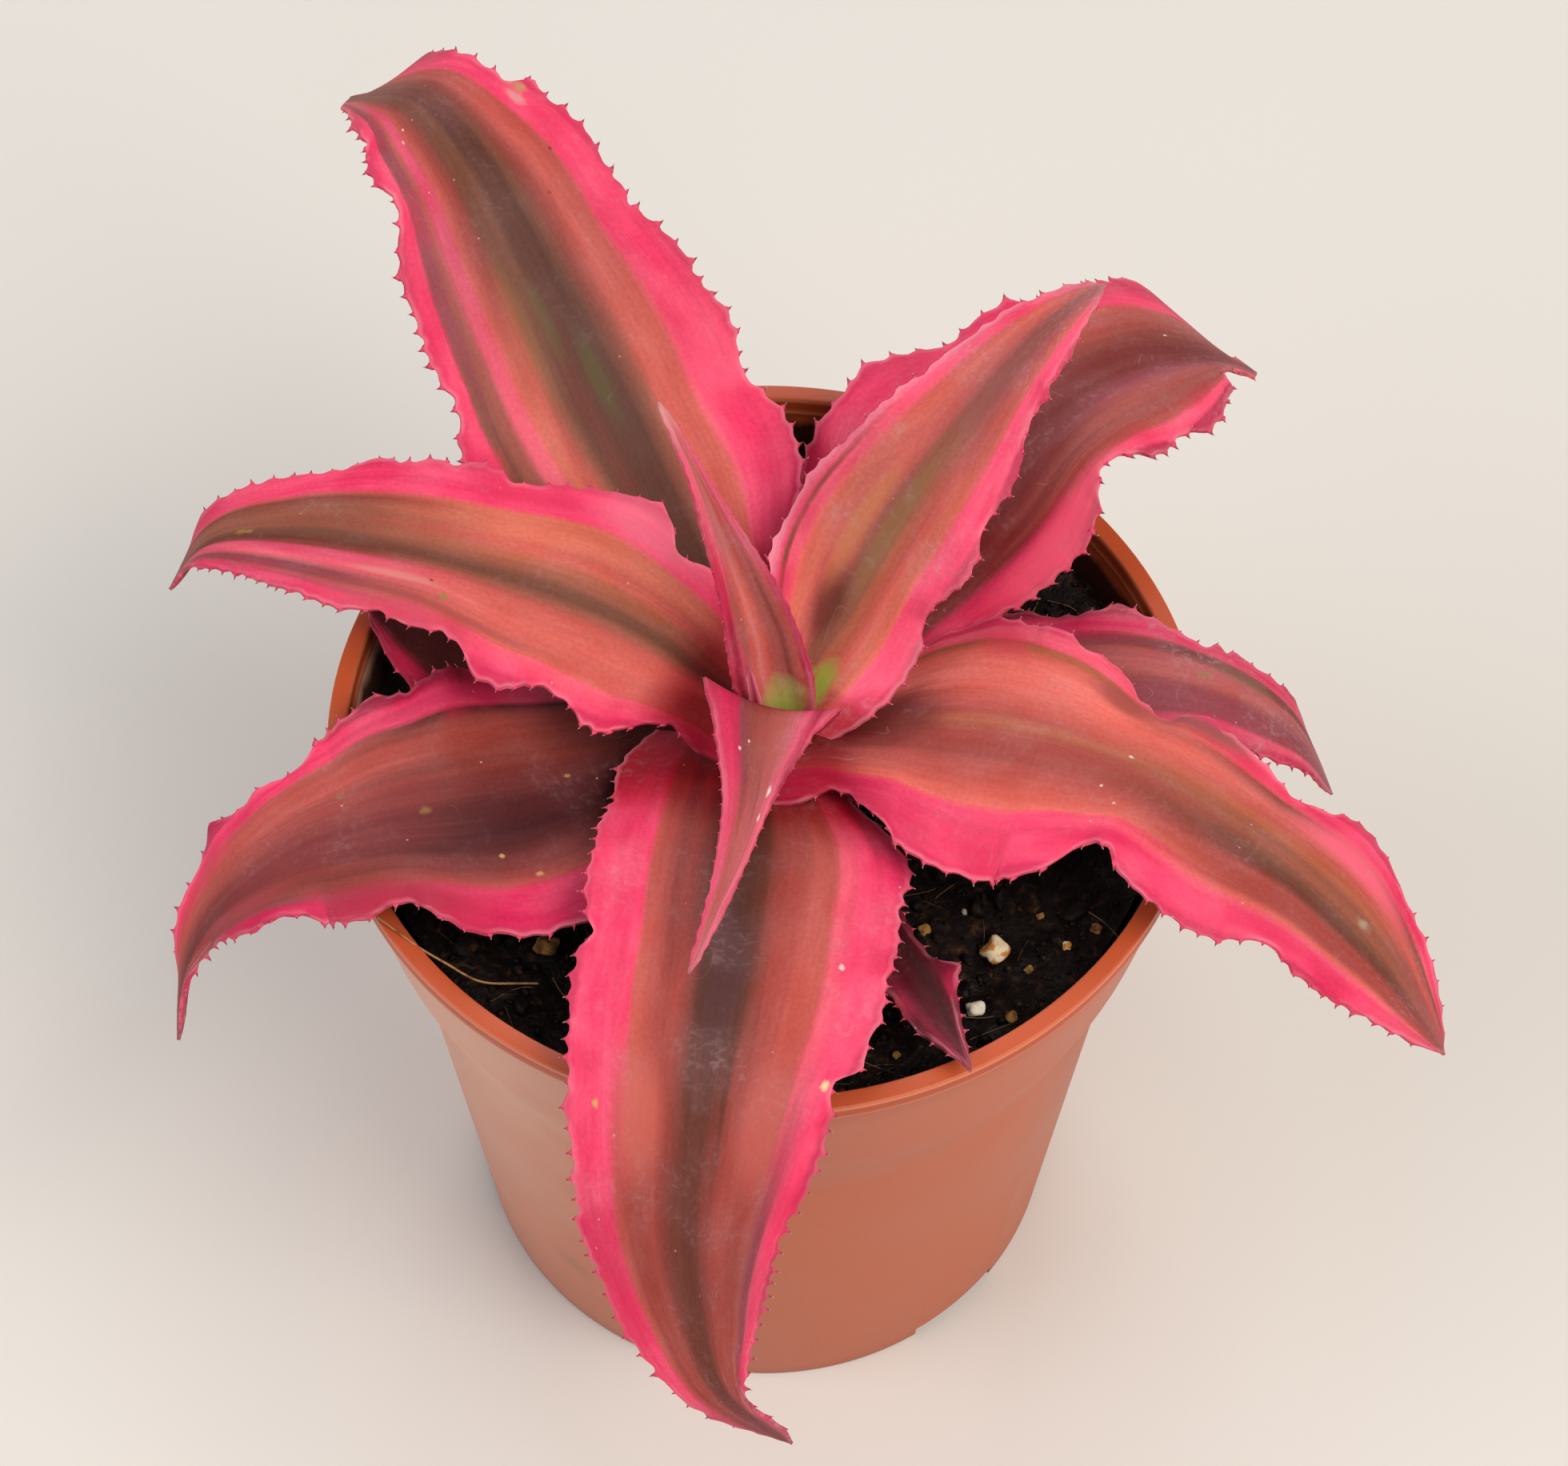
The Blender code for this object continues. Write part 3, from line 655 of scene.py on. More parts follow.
def makeCrown():
    heart = crownShape
    neckRadius, radius, top, foot = heart["neckRadius"], heart["radius"], heart["top"], heart["foot"]
    profile = [
        (0, top), (neckRadius * 0.5, top - 0.08 * mm), (neckRadius * 0.8, top - 0.25 * mm),
        (neckRadius * 0.97, top - 0.6 * mm), (neckRadius, heart["neck"]), *heart["flare"],
        (radius, heart["shoulder"]), (radius, heart["middle"]), (radius, foot + 1 * mm),
        (radius - 1 * mm, foot), (0, foot),
    ]
    crown = turnedPiece("crown_heart", profile, 48)
    for vertex in crown.data.vertices:
        # shallow scars where older leaves came away, in a slow spiral
        beat = vertex.co.z / heart["scarSpacing"] * math.tau
        ring = math.sin(beat + 2 * math.atan2(vertex.co.y, vertex.co.x))
        scale = 1 - heart["scarDepth"] * (1 + ring) * min(1, max(0, (top - vertex.co.z) / (2 * mm)))
        vertex.co.x *= scale
        vertex.co.y *= scale
    onlySelect(crown)
    bpy.ops.object.shade_smooth_by_angle(angle=math.radians(50))
    crown.data.materials.append(crownMaterial())
    finishPiece(crown, "crown")


makeCrown()
print("crown made")


# Leaves: what they share

leafShared = dict(
    thickness=0.8 * mm, marginThickness=0.5, rowSpacing=0.4 * mm, columns=44, tip=1.4 * mm,
    firstSpine=2 * mm, lastSpine=1.2 * mm, spineSpacing=2.35 * mm, spineJitter=0.4 * mm,
    spineLength=0.74 * mm,
    scallop=0.3 * mm, scallopWidth=0.6 * mm, crimp=0.35 * mm, crimpLength=8.5 * mm, ragged=0.09 * mm,
    swellLength=31 * mm, foldWidth=1.6 * mm, calm=9 * mm, seed=5,
)

# the tones of the leaf skins
tones = {
    "night": "#42181A", "wine": "#5C141E", "maroon": "#5A2422", "umber": "#5C352A", "plum": "#6E3A3C",
    "chestnut": "#7A3431", "bark": "#734534", "russet": "#8A4038", "sepia": "#955442", "mulberry": "#92434B",
    "brick": "#A44840", "rosewood": "#AC5650", "copper": "#B05E44", "clay": "#BC554C", "coral": "#CE5F54",
    "oldRose": "#BC5C60", "garnet": "#821A33", "crimson": "#A81F40", "ruby": "#C03252", "carmine": "#D6365C",
    "cerise": "#D65068", "pink": "#F2486C", "salmon": "#EE5C70", "blush": "#E47C8E", "walnut": "#70392E",
    "peach": "#E56C60", "apricot": "#D66C56", "flamingo": "#FF5877", "oxblood": "#7E2E2C",
    "dustyRose": "#DC7A74",
}

# Each leaf: heading in degrees; tilt of its left edge in degrees; channel, the lift of both edges at the
# base and beyond it; ruffles with their height, length and phase; the size of its teeth; the root, as (out,
# aside, height, half-width left, half-width right) in millimetres, and the midrib from there on as (out,
# aside, height); then both edges as (share of the length, half-width) and folds as (share, side, depth).
# Its looks run along it from 0 at the base to 1 at the tip, and across it from 0 at the right edge to 1 at
# the left: bands across it near the base and further out, the tip's tone and strength, how far the painted
# shade at the base reaches and its tint, the scurf, spots as (along, across, radius, tone) and flushes,
# stains and patches of painted light and shade as (along, across, half-length, half-width, tone, strength).
leaves = {
    "leaf_low_left": dict(
        slot="leaf_dark", heading=168, tilt=0, channel=(0.08, 0.08), wave=0.5, wavelength=17, phase=0.5,
        teeth=0.8,
        stations=((6, -3, 80.4), (16.5, -5, 81.8), (26.5, -4.5, 84), (35, -4, 86.2), (44, -4.6, 88.9)),
        left=((0, 4), (0.28, 8.5), (0.54, 9.6), (0.76, 8.6), (0.88, 5.5), (1, 0.5)),
        right=((0, 4), (0.28, 8), (0.54, 9), (0.76, 7.4), (0.88, 4.5), (1, 0.5)),
        near=((0, "garnet"), (0.08, "crimson"), (0.2, "garnet"), (0.5, "maroon"), (0.8, "maroon"),
              (0.87, "maroon"), (0.9, "crimson"), (0.98, "ruby"), (1, "garnet")),
        tip=("#7A1A34", 0.4), base=(0.3, "#806070"), scurf=0.25,
    ),
    "leaf_low_front": dict(
        slot="leaf_dark", heading=299, tilt=0, channel=(0.1, 0.1), wave=0.4, wavelength=15, phase=0,
        teeth=0.7,
        stations=((6.1, 2, 80.4), (17.5, 1, 82.3), (30, -0.5, 85), (39, -1.5, 87.4), (46, -2.5, 88.3)),
        left=((0, 3.5), (0.28, 2.4), (0.5, 1.6), (0.6, 1.8), (0.65, 2.2), (0.69, 3.6), (0.71, 4.1),
              (0.73, 3.3), (0.754, 2.7), (0.834, 1.5), (0.899, 0.9), (0.94, 0.6), (1, 0.3)),
        right=((0, 3.5), (0.28, 5.5), (0.59, 4.6), (0.749, 3.5), (0.834, 3.1), (0.91, 1.7), (0.97, 0.5),
               (1, 0.3)),
        near=((0, "wine"), (0.15, "garnet"), (0.3, "wine"), (0.6, "night"), (0.8, "wine"), (1, "garnet")),
        tip=("#8A3A4A", 0.5), base=(0.3, "#705060"), scurf=0.25,
    ),
    "leaf_low_right": dict(
        slot="leaf_dark", heading=3, tilt=0, channel=(-0.05, -0.05), wave=0.5, wavelength=16, phase=1,
        teeth=0.85,
        stations=((6, 2, 81.2), (19, 5.5, 83.8), (29.5, 5.5, 87.1), (39.5, 4.2, 88.7), (47.5, 1.7, 87.7),
                  (54.5, -0.7, 83), (59.5, -4, 75)),
        left=((0, 3.5), (0.2, 5.3), (0.3, 6.6), (0.36, 7.2), (0.4, 6.3), (0.45, 6.2), (0.49, 6.3),
              (0.51, 6.9), (0.53, 6.2), (0.56, 5.5), (0.6, 4.7), (0.63, 4.1), (0.655, 4.2), (0.67, 4.9),
              (0.69, 4.6), (0.71, 5), (0.74, 4.4), (0.8, 4.2), (0.83, 4.5), (0.86, 4.2), (0.9, 3),
              (0.95, 1.6), (1, 0.3)),
        right=((0, 4), (0.22, 8), (0.4, 9.3), (0.56, 8.6), (0.7, 7), (0.84, 5), (0.92, 2.8), (1, 0.3)),
        near=((0, "garnet"), (0.07, "ruby"), (0.14, "mulberry"), (0.3, "mulberry"), (0.5, "rosewood"),
              (0.6, "rosewood"), (0.65, "mulberry"), (0.69, "mulberry"), (0.74, "ruby"), (0.8, "carmine"),
              (0.93, "carmine"), (1, "garnet")),
        far=((0, "ruby"), (0.06, "cerise"), (0.12, "cerise"), (0.17, "mulberry"), (0.26, "mulberry"),
             (0.34, "mulberry"), (0.44, "rosewood"), (0.56, "oldRose"), (0.62, "rosewood"), (0.67, "russet"),
             (0.73, "plum"), (0.77, "russet"), (0.81, "cerise"), (0.88, "carmine"), (0.96, "cerise"),
             (1, "ruby")),
        tip=("#8A4A58", 0.7), base=(0.25, "#905060"), scurf=1.6, spots=((0.66, 0.5, 0.9, "#94704A"),),
        flushesAndPaintedLight=((0.3, 0.5, 8, 7, "#A83A44", 0.5), (0.86, 0.45, 6, 4, "#8A4450", 0.5),
                 (0.73, 0.67, 5, 2.5, "#866656", 0.5)),
    ),
    "leaf_lower_left": dict(
        slot="leaf_dark", heading=205, tilt=0, channel=(0.03, 0.03), wave=1.2, wavelength=18, phase=2.4,
        teeth=0.85,
        stations=((6, -2, 82.6), (17, -1.5, 85.3), (29, -1, 88.8), (34, -1.5, 89.8), (39, -2.3, 90.5),
                  (44, -3, 90.5), (48, -4, 89.5), (55.5, -4, 86), (61.5, -4, 78.5), (66, -0.5, 68)),
        left=((0, 6), (0.1, 9), (0.2, 13), (0.25, 15.5), (0.28, 16.3), (0.31, 15.9), (0.33, 16.1),
              (0.35, 16.1), (0.37, 15.5), (0.4, 15.5), (0.42, 15), (0.44, 13.8), (0.47, 11.5), (0.48, 10.6),
              (0.5, 9.9), (0.53, 10.3), (0.55, 10), (0.58, 9.2), (0.62, 8.7), (0.65, 7.1), (0.68, 6.2),
              (0.7, 6), (0.72, 5.3), (0.74, 4.5), (0.76, 3.5), (0.78, 2.7), (0.8, 2), (0.82, 1.5),
              (0.85, 1.1), (0.9, 0.8), (1, 0.3)),
        right=((0, 6), (0.1, 11), (0.15, 13), (0.2, 14.5), (0.25, 15.6), (0.27, 16.4), (0.3, 16.3),
               (0.33, 16.1), (0.38, 15.5), (0.4, 15.1), (0.44, 15.2), (0.46, 15.2), (0.48, 14), (0.5, 13),
               (0.52, 12.1), (0.54, 10.8), (0.56, 9.7), (0.57, 9), (0.58, 8.1), (0.59, 7.5), (0.6, 7.4),
               (0.61, 7.7), (0.63, 7.5), (0.66, 7.4), (0.68, 7.8), (0.7, 8.4), (0.72, 8.7), (0.735, 7.8),
               (0.75, 6.2), (0.77, 5), (0.8, 3.9), (0.82, 3.3), (0.84, 2.8), (0.86, 2.4), (0.9, 1.7),
               (0.95, 1), (1, 0.3)),
        folds=((0.595, -1, 0.9), (0.485, 1, 0.7)),
        near=((0, "garnet"), (0.02, "crimson"), (0.05, "carmine"), (0.115, "carmine"), (0.14, "maroon"),
              (0.17, "russet"), (0.22, "brick"), (0.34, "russet"), (0.42, "chestnut"), (0.5, "maroon"),
              (0.62, "night"), (0.7, "maroon"), (0.76, "chestnut"), (0.83, "brick"), (0.86, "carmine"),
              (0.97, "carmine"), (1, "ruby")),
        far=((0, "ruby"), (0.03, "pink"), (0.12, "pink"), (0.145, "rosewood"), (0.17, "clay"), (0.2, "clay"),
             (0.28, "clay"), (0.38, "brick"), (0.46, "russet"), (0.54, "chestnut"), (0.65, "chestnut"),
             (0.76, "russet"), (0.84, "russet"), (0.89, "mulberry"), (0.915, "ruby"), (0.95, "carmine"),
             (1, "ruby")),
        tip=("#8A4A58", 0.8), base=(0.24, "#705458"), scurf=0.45,
        spots=((0.215, 0.47, 0.35, "#B09050"), (0.43, 0.5, 0.7, "#8A6640"), (0.54, 0.33, 0.6, "#8A6640"),
               (0.315, 0.81, 0.35, "#C89068"), (0.35, 0.72, 0.3, "#C8A068")),
        flushesAndPaintedLight=((0.5, 0.92, 9, 4.5, "#9C2E3A", 0.65), (0.76, 0.15, 7, 4, "#DC4058", 0.8),
                 (0.75, 0.76, 9, 5, "#B0464E", 0.6), (0.6, 0.5, 20, 9, "#9A4244", 0.3)),
    ),
    "leaf_back_broad": dict(
        slot="leaf_dark", heading=42, tilt=0, channel=(0.04, 0.04), wave=1, wavelength=24, phase=1, teeth=1.0,
        stations=((6, 0.8, 83.2), (14, 2, 84.6), (24, 3, 89.2), (29, 3.4, 93), (38, 3.6, 97), (43, 3.5, 98),
                  (47.5, 3.4, 98.5), (55.5, 2.2, 97.5), (63, 0, 94), (69, -2.6, 89.5)),
        left=((0, 4), (0.12, 9), (0.2, 13.6), (0.3, 17.4), (0.36, 18), (0.4, 17.8), (0.42, 18.1),
              (0.44, 18.5), (0.46, 18.6), (0.48, 17.5), (0.5, 16.5), (0.52, 15.6), (0.54, 14.7), (0.58, 14.2),
              (0.6, 14.3), (0.64, 13.7), (0.655, 13.8), (0.67, 12.4), (0.68, 11.9), (0.7, 11.6), (0.74, 11.8),
              (0.78, 12.3), (0.8, 12.9), (0.82, 13.5), (0.84, 14.2), (0.86, 14.7), (0.88, 14.6), (0.9, 13.4),
              (0.92, 10.4), (0.94, 5.4), (0.96, 2.6), (0.98, 2), (1, 1.6)),
        right=((0, 4), (0.15, 7.7), (0.25, 9.8), (0.33, 12.4), (0.37, 13.2), (0.4, 13.6), (0.45, 14),
               (0.47, 13.8), (0.5, 12.8), (0.52, 12.1), (0.54, 10.4), (0.56, 9.1), (0.58, 8.8), (0.6, 9),
               (0.62, 10), (0.65, 11.3), (0.67, 11.3), (0.7, 10.8), (0.72, 10.2), (0.74, 10.1), (0.76, 11),
               (0.78, 11.2), (0.8, 10.6), (0.82, 9.7), (0.84, 8.2), (0.86, 6.9), (0.875, 6), (0.89, 3.2),
               (0.91, 1.8), (0.95, 1.5), (1, 1.2)),
        near=((0, "cerise"), (0.03, "pink"), (0.11, "pink"), (0.14, "carmine"), (0.18, "oxblood"),
              (0.3, "oxblood"), (0.5, "oxblood"), (0.7, "maroon"), (0.76, "garnet"), (0.8, "ruby"),
              (0.9, "pink"), (0.97, "pink"), (1, "carmine")),
        far=((0, "ruby"), (0.03, "flamingo"), (0.09, "flamingo"), (0.115, "clay"), (0.17, "brick"),
             (0.23, "rosewood"), (0.31, "rosewood"), (0.4, "mulberry"), (0.48, "chestnut"),
             (0.58, "chestnut"), (0.66, "russet"), (0.73, "brick"), (0.79, "rosewood"), (0.84, "clay"),
             (0.875, "pink"), (0.94, "pink"), (1, "carmine")),
        tip=("#96505A", 0.35), base=(0.2, "#704050"), scurf=0.8, spots=((0.84, 0.65, 0.3, "#F0D8D0"),),
        # the second flush, bright pink on the right margin, is painted light where the leaf lies in shade
        flushesAndPaintedLight=((0.52, 0.4, 12, 8, "#6A2A2A", 0.6), (0.45, 0.06, 12, 4, "#FF5A78", 0.9)),
    ),
    "leaf_front": dict(
        slot="leaf_striped", heading=264, tilt=-3, channel=(0, 0), wave=0.8, wavelength=26, phase=0,
        teeth=0.85,
        root=((1.2, -1.5, 84, 7, 9.8),),
        stations=((6, -1.5, 85.6), (10, -1.5, 87.2), (17, -1.5, 90.2), (22.5, -1.5, 91.6), (33, -1.2, 93),
                  (42, -1, 91.6), (49, -1, 87), (54.5, -0.8, 79), (58, 0.3, 69), (61.5, 3, 59),
                  (63.2, 10, 51)),
        left=((0, 10), (0.05, 12.3), (0.08, 14.6), (0.1, 15.9), (0.12, 16.9), (0.15, 18), (0.17, 17.9),
              (0.2, 17.4), (0.25, 17.5), (0.27, 17.4), (0.3, 17), (0.33, 16.5), (0.36, 16.5), (0.4, 15.2),
              (0.43, 14.2), (0.437, 12.9), (0.447, 12.1), (0.46, 12.4), (0.5, 12.1), (0.52, 12), (0.55, 11.2),
              (0.58, 10.4), (0.6, 9.5), (0.63, 8.5), (0.66, 7.8), (0.7, 7.1), (0.74, 6.3), (0.76, 5.8),
              (0.78, 5.2), (0.8, 4.6), (0.82, 4.1), (0.84, 3.5), (0.86, 2.8), (0.88, 2), (0.9, 1.2),
              (0.92, 0.9), (0.95, 1.1), (0.98, 0.8), (1, 0.3)),
        right=((0, 12.2), (0.05, 12.6), (0.08, 12.3), (0.1, 12.5), (0.15, 13.1), (0.17, 12.9), (0.2, 13.1),
               (0.23, 13.2), (0.26, 12.9), (0.28, 12.3), (0.29, 11.8), (0.3, 12.1), (0.31, 12.8),
               (0.33, 13.1), (0.36, 13.4), (0.4, 13), (0.44, 12.9), (0.46, 12.5), (0.5, 12.5), (0.52, 11.9),
               (0.55, 11.4), (0.57, 11.4), (0.6, 10.9), (0.63, 11), (0.66, 10.2), (0.7, 9.3), (0.74, 8.5),
               (0.76, 8.1), (0.78, 7.5), (0.8, 6.6), (0.82, 5.9), (0.84, 5.3), (0.86, 4.7), (0.88, 4.3),
               (0.9, 3.9), (0.92, 3.5), (0.94, 2.7), (0.96, 1.8), (0.98, 1), (1, 0.3)),
        folds=((0.285, -1, 0.8), (0.27, 1, 0.6), (0.445, 1, 0.5)),
        near=((0, "carmine"), (0.02, "pink"), (0.205, "pink"), (0.23, "coral"), (0.26, "clay"),
              (0.32, "brick"), (0.38, "brick"), (0.42, "russet"), (0.46, "umber"), (0.58, "umber"),
              (0.62, "walnut"), (0.66, "brick"), (0.76, "clay"), (0.81, "clay"), (0.835, "salmon"),
              (0.9, "pink"), (0.97, "pink"), (1, "carmine")),
        far=((0, "carmine"), (0.02, "pink"), (0.15, "pink"), (0.175, "clay"), (0.22, "brick"),
             (0.32, "brick"), (0.37, "russet"), (0.42, "walnut"), (0.52, "walnut"), (0.56, "russet"),
             (0.6, "brick"), (0.66, "brick"), (0.76, "brick"), (0.81, "rosewood"), (0.85, "mulberry"),
             (0.88, "mulberry"), (0.895, "cerise"), (0.92, "pink"), (0.97, "pink"), (1, "ruby")),
        tip=("#86444E", 0.7), base=(0.14, "#C85878"), scurf=0.8,
        spots=((0.487, 0.1, 0.5, "#D0A860"), (0.31, 0.865, 0.4, "#F8D8D0"), (0.445, 0.93, 0.6, "#ECD8A0")),
        flushesAndPaintedLight=((0.5, 0.27, 8, 4, "#D4695C", 0.6), (0.5, 0.74, 8, 4, "#CD665C", 0.5),
                 (0.33, 0.53, 13, 3.2, "#56363A", 0.55), (0.93, 0.5, 6, 4, "#70383E", 0.6)),
    ),
    "leaf_back_left": dict(
        slot="leaf_striped", heading=125, tilt=-6, channel=(0.08, 0.08), wave=1, wavelength=26, phase=0,
        teeth=0.95,
        stations=((5.8, -3, 86.2), (16.5, -3, 89), (23, -3.5, 91), (29, -4, 93.5), (39, -4.5, 100),
                  (49.5, -5, 108), (59.5, -5, 114), (69, -4.5, 115), (79.5, -0.5, 109)),
        left=((0, 4), (0.1, 7), (0.2, 10.5), (0.3, 14), (0.36, 15.8), (0.4, 16.4), (0.425, 16), (0.45, 14.9),
              (0.47, 14.4), (0.5, 14.7), (0.55, 14.7), (0.6, 14.2), (0.65, 13.8), (0.68, 12.7), (0.7, 11.7),
              (0.72, 10.8), (0.74, 10.2), (0.76, 10.5), (0.78, 10.8), (0.8, 10.4), (0.82, 9.8), (0.84, 9.2),
              (0.86, 8.4), (0.88, 7.9), (0.9, 7.5), (0.92, 6.4), (0.94, 5), (0.96, 3.8), (0.98, 3), (1, 2.4)),
        right=((0, 6), (0.05, 7), (0.1, 8.5), (0.15, 11.2), (0.2, 15), (0.25, 16.3), (0.3, 16.3),
               (0.34, 15.2), (0.36, 14.9), (0.4, 15.9), (0.42, 16.2), (0.45, 15.8), (0.48, 14.7), (0.5, 14.4),
               (0.53, 14.1), (0.55, 13.4), (0.57, 12.7), (0.6, 11.3), (0.63, 11.5), (0.66, 11.1), (0.7, 11.1),
               (0.72, 10.8), (0.74, 10.3), (0.76, 9.6), (0.775, 9.3), (0.785, 9.6), (0.8, 7.4), (0.82, 6.8),
               (0.84, 6.6), (0.86, 6.6), (0.9, 6.9), (0.92, 7.2), (0.938, 7), (0.952, 3.2), (0.965, 1.4),
               (1, 0.9)),
        near=((0, "carmine"), (0.02, "pink"), (0.17, "pink"), (0.19, "salmon"), (0.21, "coral"),
              (0.32, "coral"), (0.355, "sepia"), (0.42, "umber"), (0.5, "umber"), (0.57, "walnut"),
              (0.61, "bark"), (0.64, "sepia"), (0.68, "coral"), (0.735, "apricot"), (0.77, "salmon"),
              (0.81, "salmon"), (0.83, "rosewood"), (0.87, "sepia"), (0.89, "bark"), (0.915, "sepia"),
              (0.93, "pink"), (0.95, "pink"), (1, "carmine")),
        far=((0, "carmine"), (0.02, "pink"), (0.16, "pink"), (0.19, "clay"), (0.3, "clay"), (0.37, "russet"),
             (0.42, "bark"), (0.46, "umber"), (0.55, "umber"), (0.59, "bark"), (0.65, "bark"),
             (0.69, "russet"), (0.73, "brick"), (0.76, "clay"), (0.79, "cerise"), (0.82, "cerise"),
             (0.85, "rosewood"), (0.885, "mulberry"), (0.92, "mulberry"), (0.935, "pink"), (1, "carmine")),
        tip=("#A86858", 0.45), base=(0.2, "#905C54"), scurf=0.4,
        spots=((0.79, 0.04, 1.0, "#B89060"), (0.78, 0.1, 1.3, "#D8908C"), (0.705, 0.18, 0.3, "#7A3030"),
               (0.66, 0.3, 0.25, "#7A3030"), (0.83, 0.75, 0.25, "#F0C8C0"), (0.81, 0.79, 0.3, "#F0B0B0")),
        flushesAndPaintedLight=((0.43, 0.48, 7, 1.6, "#55602C", 0.34), (0.52, 0.57, 6, 1.2, "#5E6430", 0.3),
                 (0.52, 0.66, 10, 1.6, "#9A6A3A", 0.3), (0.88, 0.42, 9, 8, "#86463F", 0.5)),
    ),
    "leaf_right": dict(
        slot="leaf_striped", heading=338, tilt=0, channel=(-0.06, -0.06), wave=1.4, wavelength=23, phase=1.3,
        teeth=0.8,
        root=((2, -0.5, 86.5, 5, 7),),
        stations=((5.2, -0.5, 88.2), (12, 1, 90.3), (16, 2, 92), (20, 2.5, 93.5), (24.5, 2.8, 94.8),
                  (29, 3.2, 95.5), (34, 3, 96), (38.5, 3, 96), (47, 2.5, 94.5), (56, 1.7, 91), (65, -0.3, 86),
                  (75.5, -5.7, 78)),
        left=((0, 5), (0.05, 7), (0.1, 10), (0.15, 14), (0.2, 15.6), (0.22, 14.9), (0.25, 14.1), (0.28, 13.6),
              (0.3, 13.2), (0.33, 11.3), (0.35, 10.9), (0.38, 10.2), (0.4, 9.4), (0.41, 8.8), (0.43, 8.2),
              (0.45, 8), (0.47, 8.9), (0.48, 9.6), (0.49, 9.9), (0.52, 9.1), (0.55, 8), (0.58, 7.1),
              (0.6, 6.7), (0.63, 6.1), (0.65, 6), (0.66, 6.5), (0.68, 7.4), (0.7, 8.6), (0.72, 9.7),
              (0.75, 10), (0.77, 9.6), (0.8, 8.2), (0.82, 6.9), (0.84, 6), (0.86, 5.3), (0.88, 4.7),
              (0.9, 4.1), (0.93, 3.3), (0.96, 2.3), (0.98, 1.4), (1, 0.3)),
        right=((0, 9.1), (0.02, 7.9), (0.04, 6.6), (0.06, 7.1), (0.08, 8.3), (0.1, 9.9), (0.12, 11.6),
               (0.15, 13.7), (0.2, 15.7), (0.25, 16.4), (0.3, 16.3), (0.35, 15.9), (0.38, 14.5), (0.39, 13.5),
               (0.4, 12.2), (0.41, 10.9), (0.42, 10.1), (0.43, 9.9), (0.45, 9.9), (0.47, 10.9), (0.48, 11.6),
               (0.5, 12), (0.52, 12.3), (0.56, 12.3), (0.6, 12.1), (0.65, 11.4), (0.67, 10.5), (0.7, 9.6),
               (0.72, 9.7), (0.74, 10.2), (0.76, 10.4), (0.78, 10), (0.8, 9.6), (0.82, 8.9), (0.84, 8.2),
               (0.86, 7.4), (0.88, 6.5), (0.9, 5.5), (0.92, 4.5), (0.94, 3.6), (0.96, 2.6), (0.98, 1.4),
               (1, 0.3)),
        folds=((0.42, -1, 0.8), (0.45, 1, 0.6), (0.63, 1, 0.8)),
        near=((0, "carmine"), (0.03, "pink"), (0.2, "pink"), (0.225, "peach"), (0.27, "coral"),
              (0.33, "clay"), (0.39, "brick"), (0.48, "brick"), (0.53, "copper"), (0.58, "clay"),
              (0.64, "coral"), (0.71, "peach"), (0.84, "peach"), (0.87, "coral"), (0.895, "copper"),
              (0.915, "copper"), (0.93, "salmon"), (0.98, "salmon"), (1, "carmine")),
        far=((0, "carmine"), (0.03, "pink"), (0.12, "pink"), (0.155, "salmon"), (0.185, "coral"),
             (0.22, "brick"), (0.31, "brick"), (0.355, "walnut"), (0.41, "bark"), (0.46, "sepia"),
             (0.52, "sepia"), (0.6, "copper"), (0.67, "clay"), (0.74, "coral"), (0.79, "rosewood"),
             (0.84, "russet"), (0.86, "clay"), (0.875, "pink"), (0.98, "pink"), (1, "carmine")),
        tip=("#A44E50", 0.55), base=(0.1, "#B87088"), scurf=0.6,
        spots=((0.435, 0.545, 0.3, "#F0D0C0"), (0.414, 0.36, 0.22, "#F0D0C0"), (0.438, 0.29, 0.22, "#F0D0C0"),
               (0.8, 0.5, 1.1, "#A8947C")),
        flushesAndPaintedLight=((0.5, 0.97, 8, 2.2, "#94504A", 0.9), (0.39, 0.86, 5, 2.6, "#9A4A42", 0.8),
                 (0.745, 0.79, 9, 4, "#F4647A", 0.9), (0.9, 0.6, 8, 3, "#84464A", 0.5),
                 (0.1, 0.56, 9, 7, "#6A2826", 0.85)),
    ),
    "leaf_left": dict(
        slot="leaf_striped", heading=165, tilt=-10, channel=(0.1, 0.1), wave=1, wavelength=24, phase=2,
        teeth=0.75,
        root=((1, -1.5, 87.8, 8, 8),),
        stations=((4.2, -1.5, 89.2), (12, -3, 94), (21, -3.5, 97), (31, -3.5, 98), (41.5, -4, 97),
                  (53, -5, 93.5), (62.5, -5, 88), (67, -3, 81)),
        left=((0, 8.5), (0.05, 8), (0.07, 9.6), (0.1, 11.8), (0.12, 12.7), (0.16, 13.3), (0.18, 13.2),
              (0.2, 12.3), (0.22, 11.6), (0.25, 11.5), (0.28, 12.3), (0.3, 13.1), (0.32, 13.5), (0.34, 13.2),
              (0.36, 12.7), (0.38, 10.8), (0.4, 9.1), (0.42, 8.4), (0.46, 8.4), (0.5, 8), (0.53, 7.5),
              (0.56, 8.1), (0.58, 8.3), (0.62, 8), (0.66, 7.5), (0.7, 6.8), (0.74, 5.9), (0.78, 4.9),
              (0.82, 4.1), (0.86, 3.3), (0.88, 2.9), (0.9, 2.3), (0.92, 1.3), (0.94, 0.8), (0.97, 0.8),
              (1, 0.3)),
        right=((0, 8.5), (0.05, 8.2), (0.1, 8.2), (0.13, 8.3), (0.15, 7.9), (0.165, 8.5), (0.18, 10.4),
               (0.2, 11.7), (0.24, 11.6), (0.28, 11.3), (0.3, 10.9), (0.33, 10.5), (0.36, 9.9), (0.38, 9.5),
               (0.4, 9.3), (0.42, 9.7), (0.46, 10), (0.48, 9.4), (0.52, 9.5), (0.55, 8.9), (0.58, 9.1),
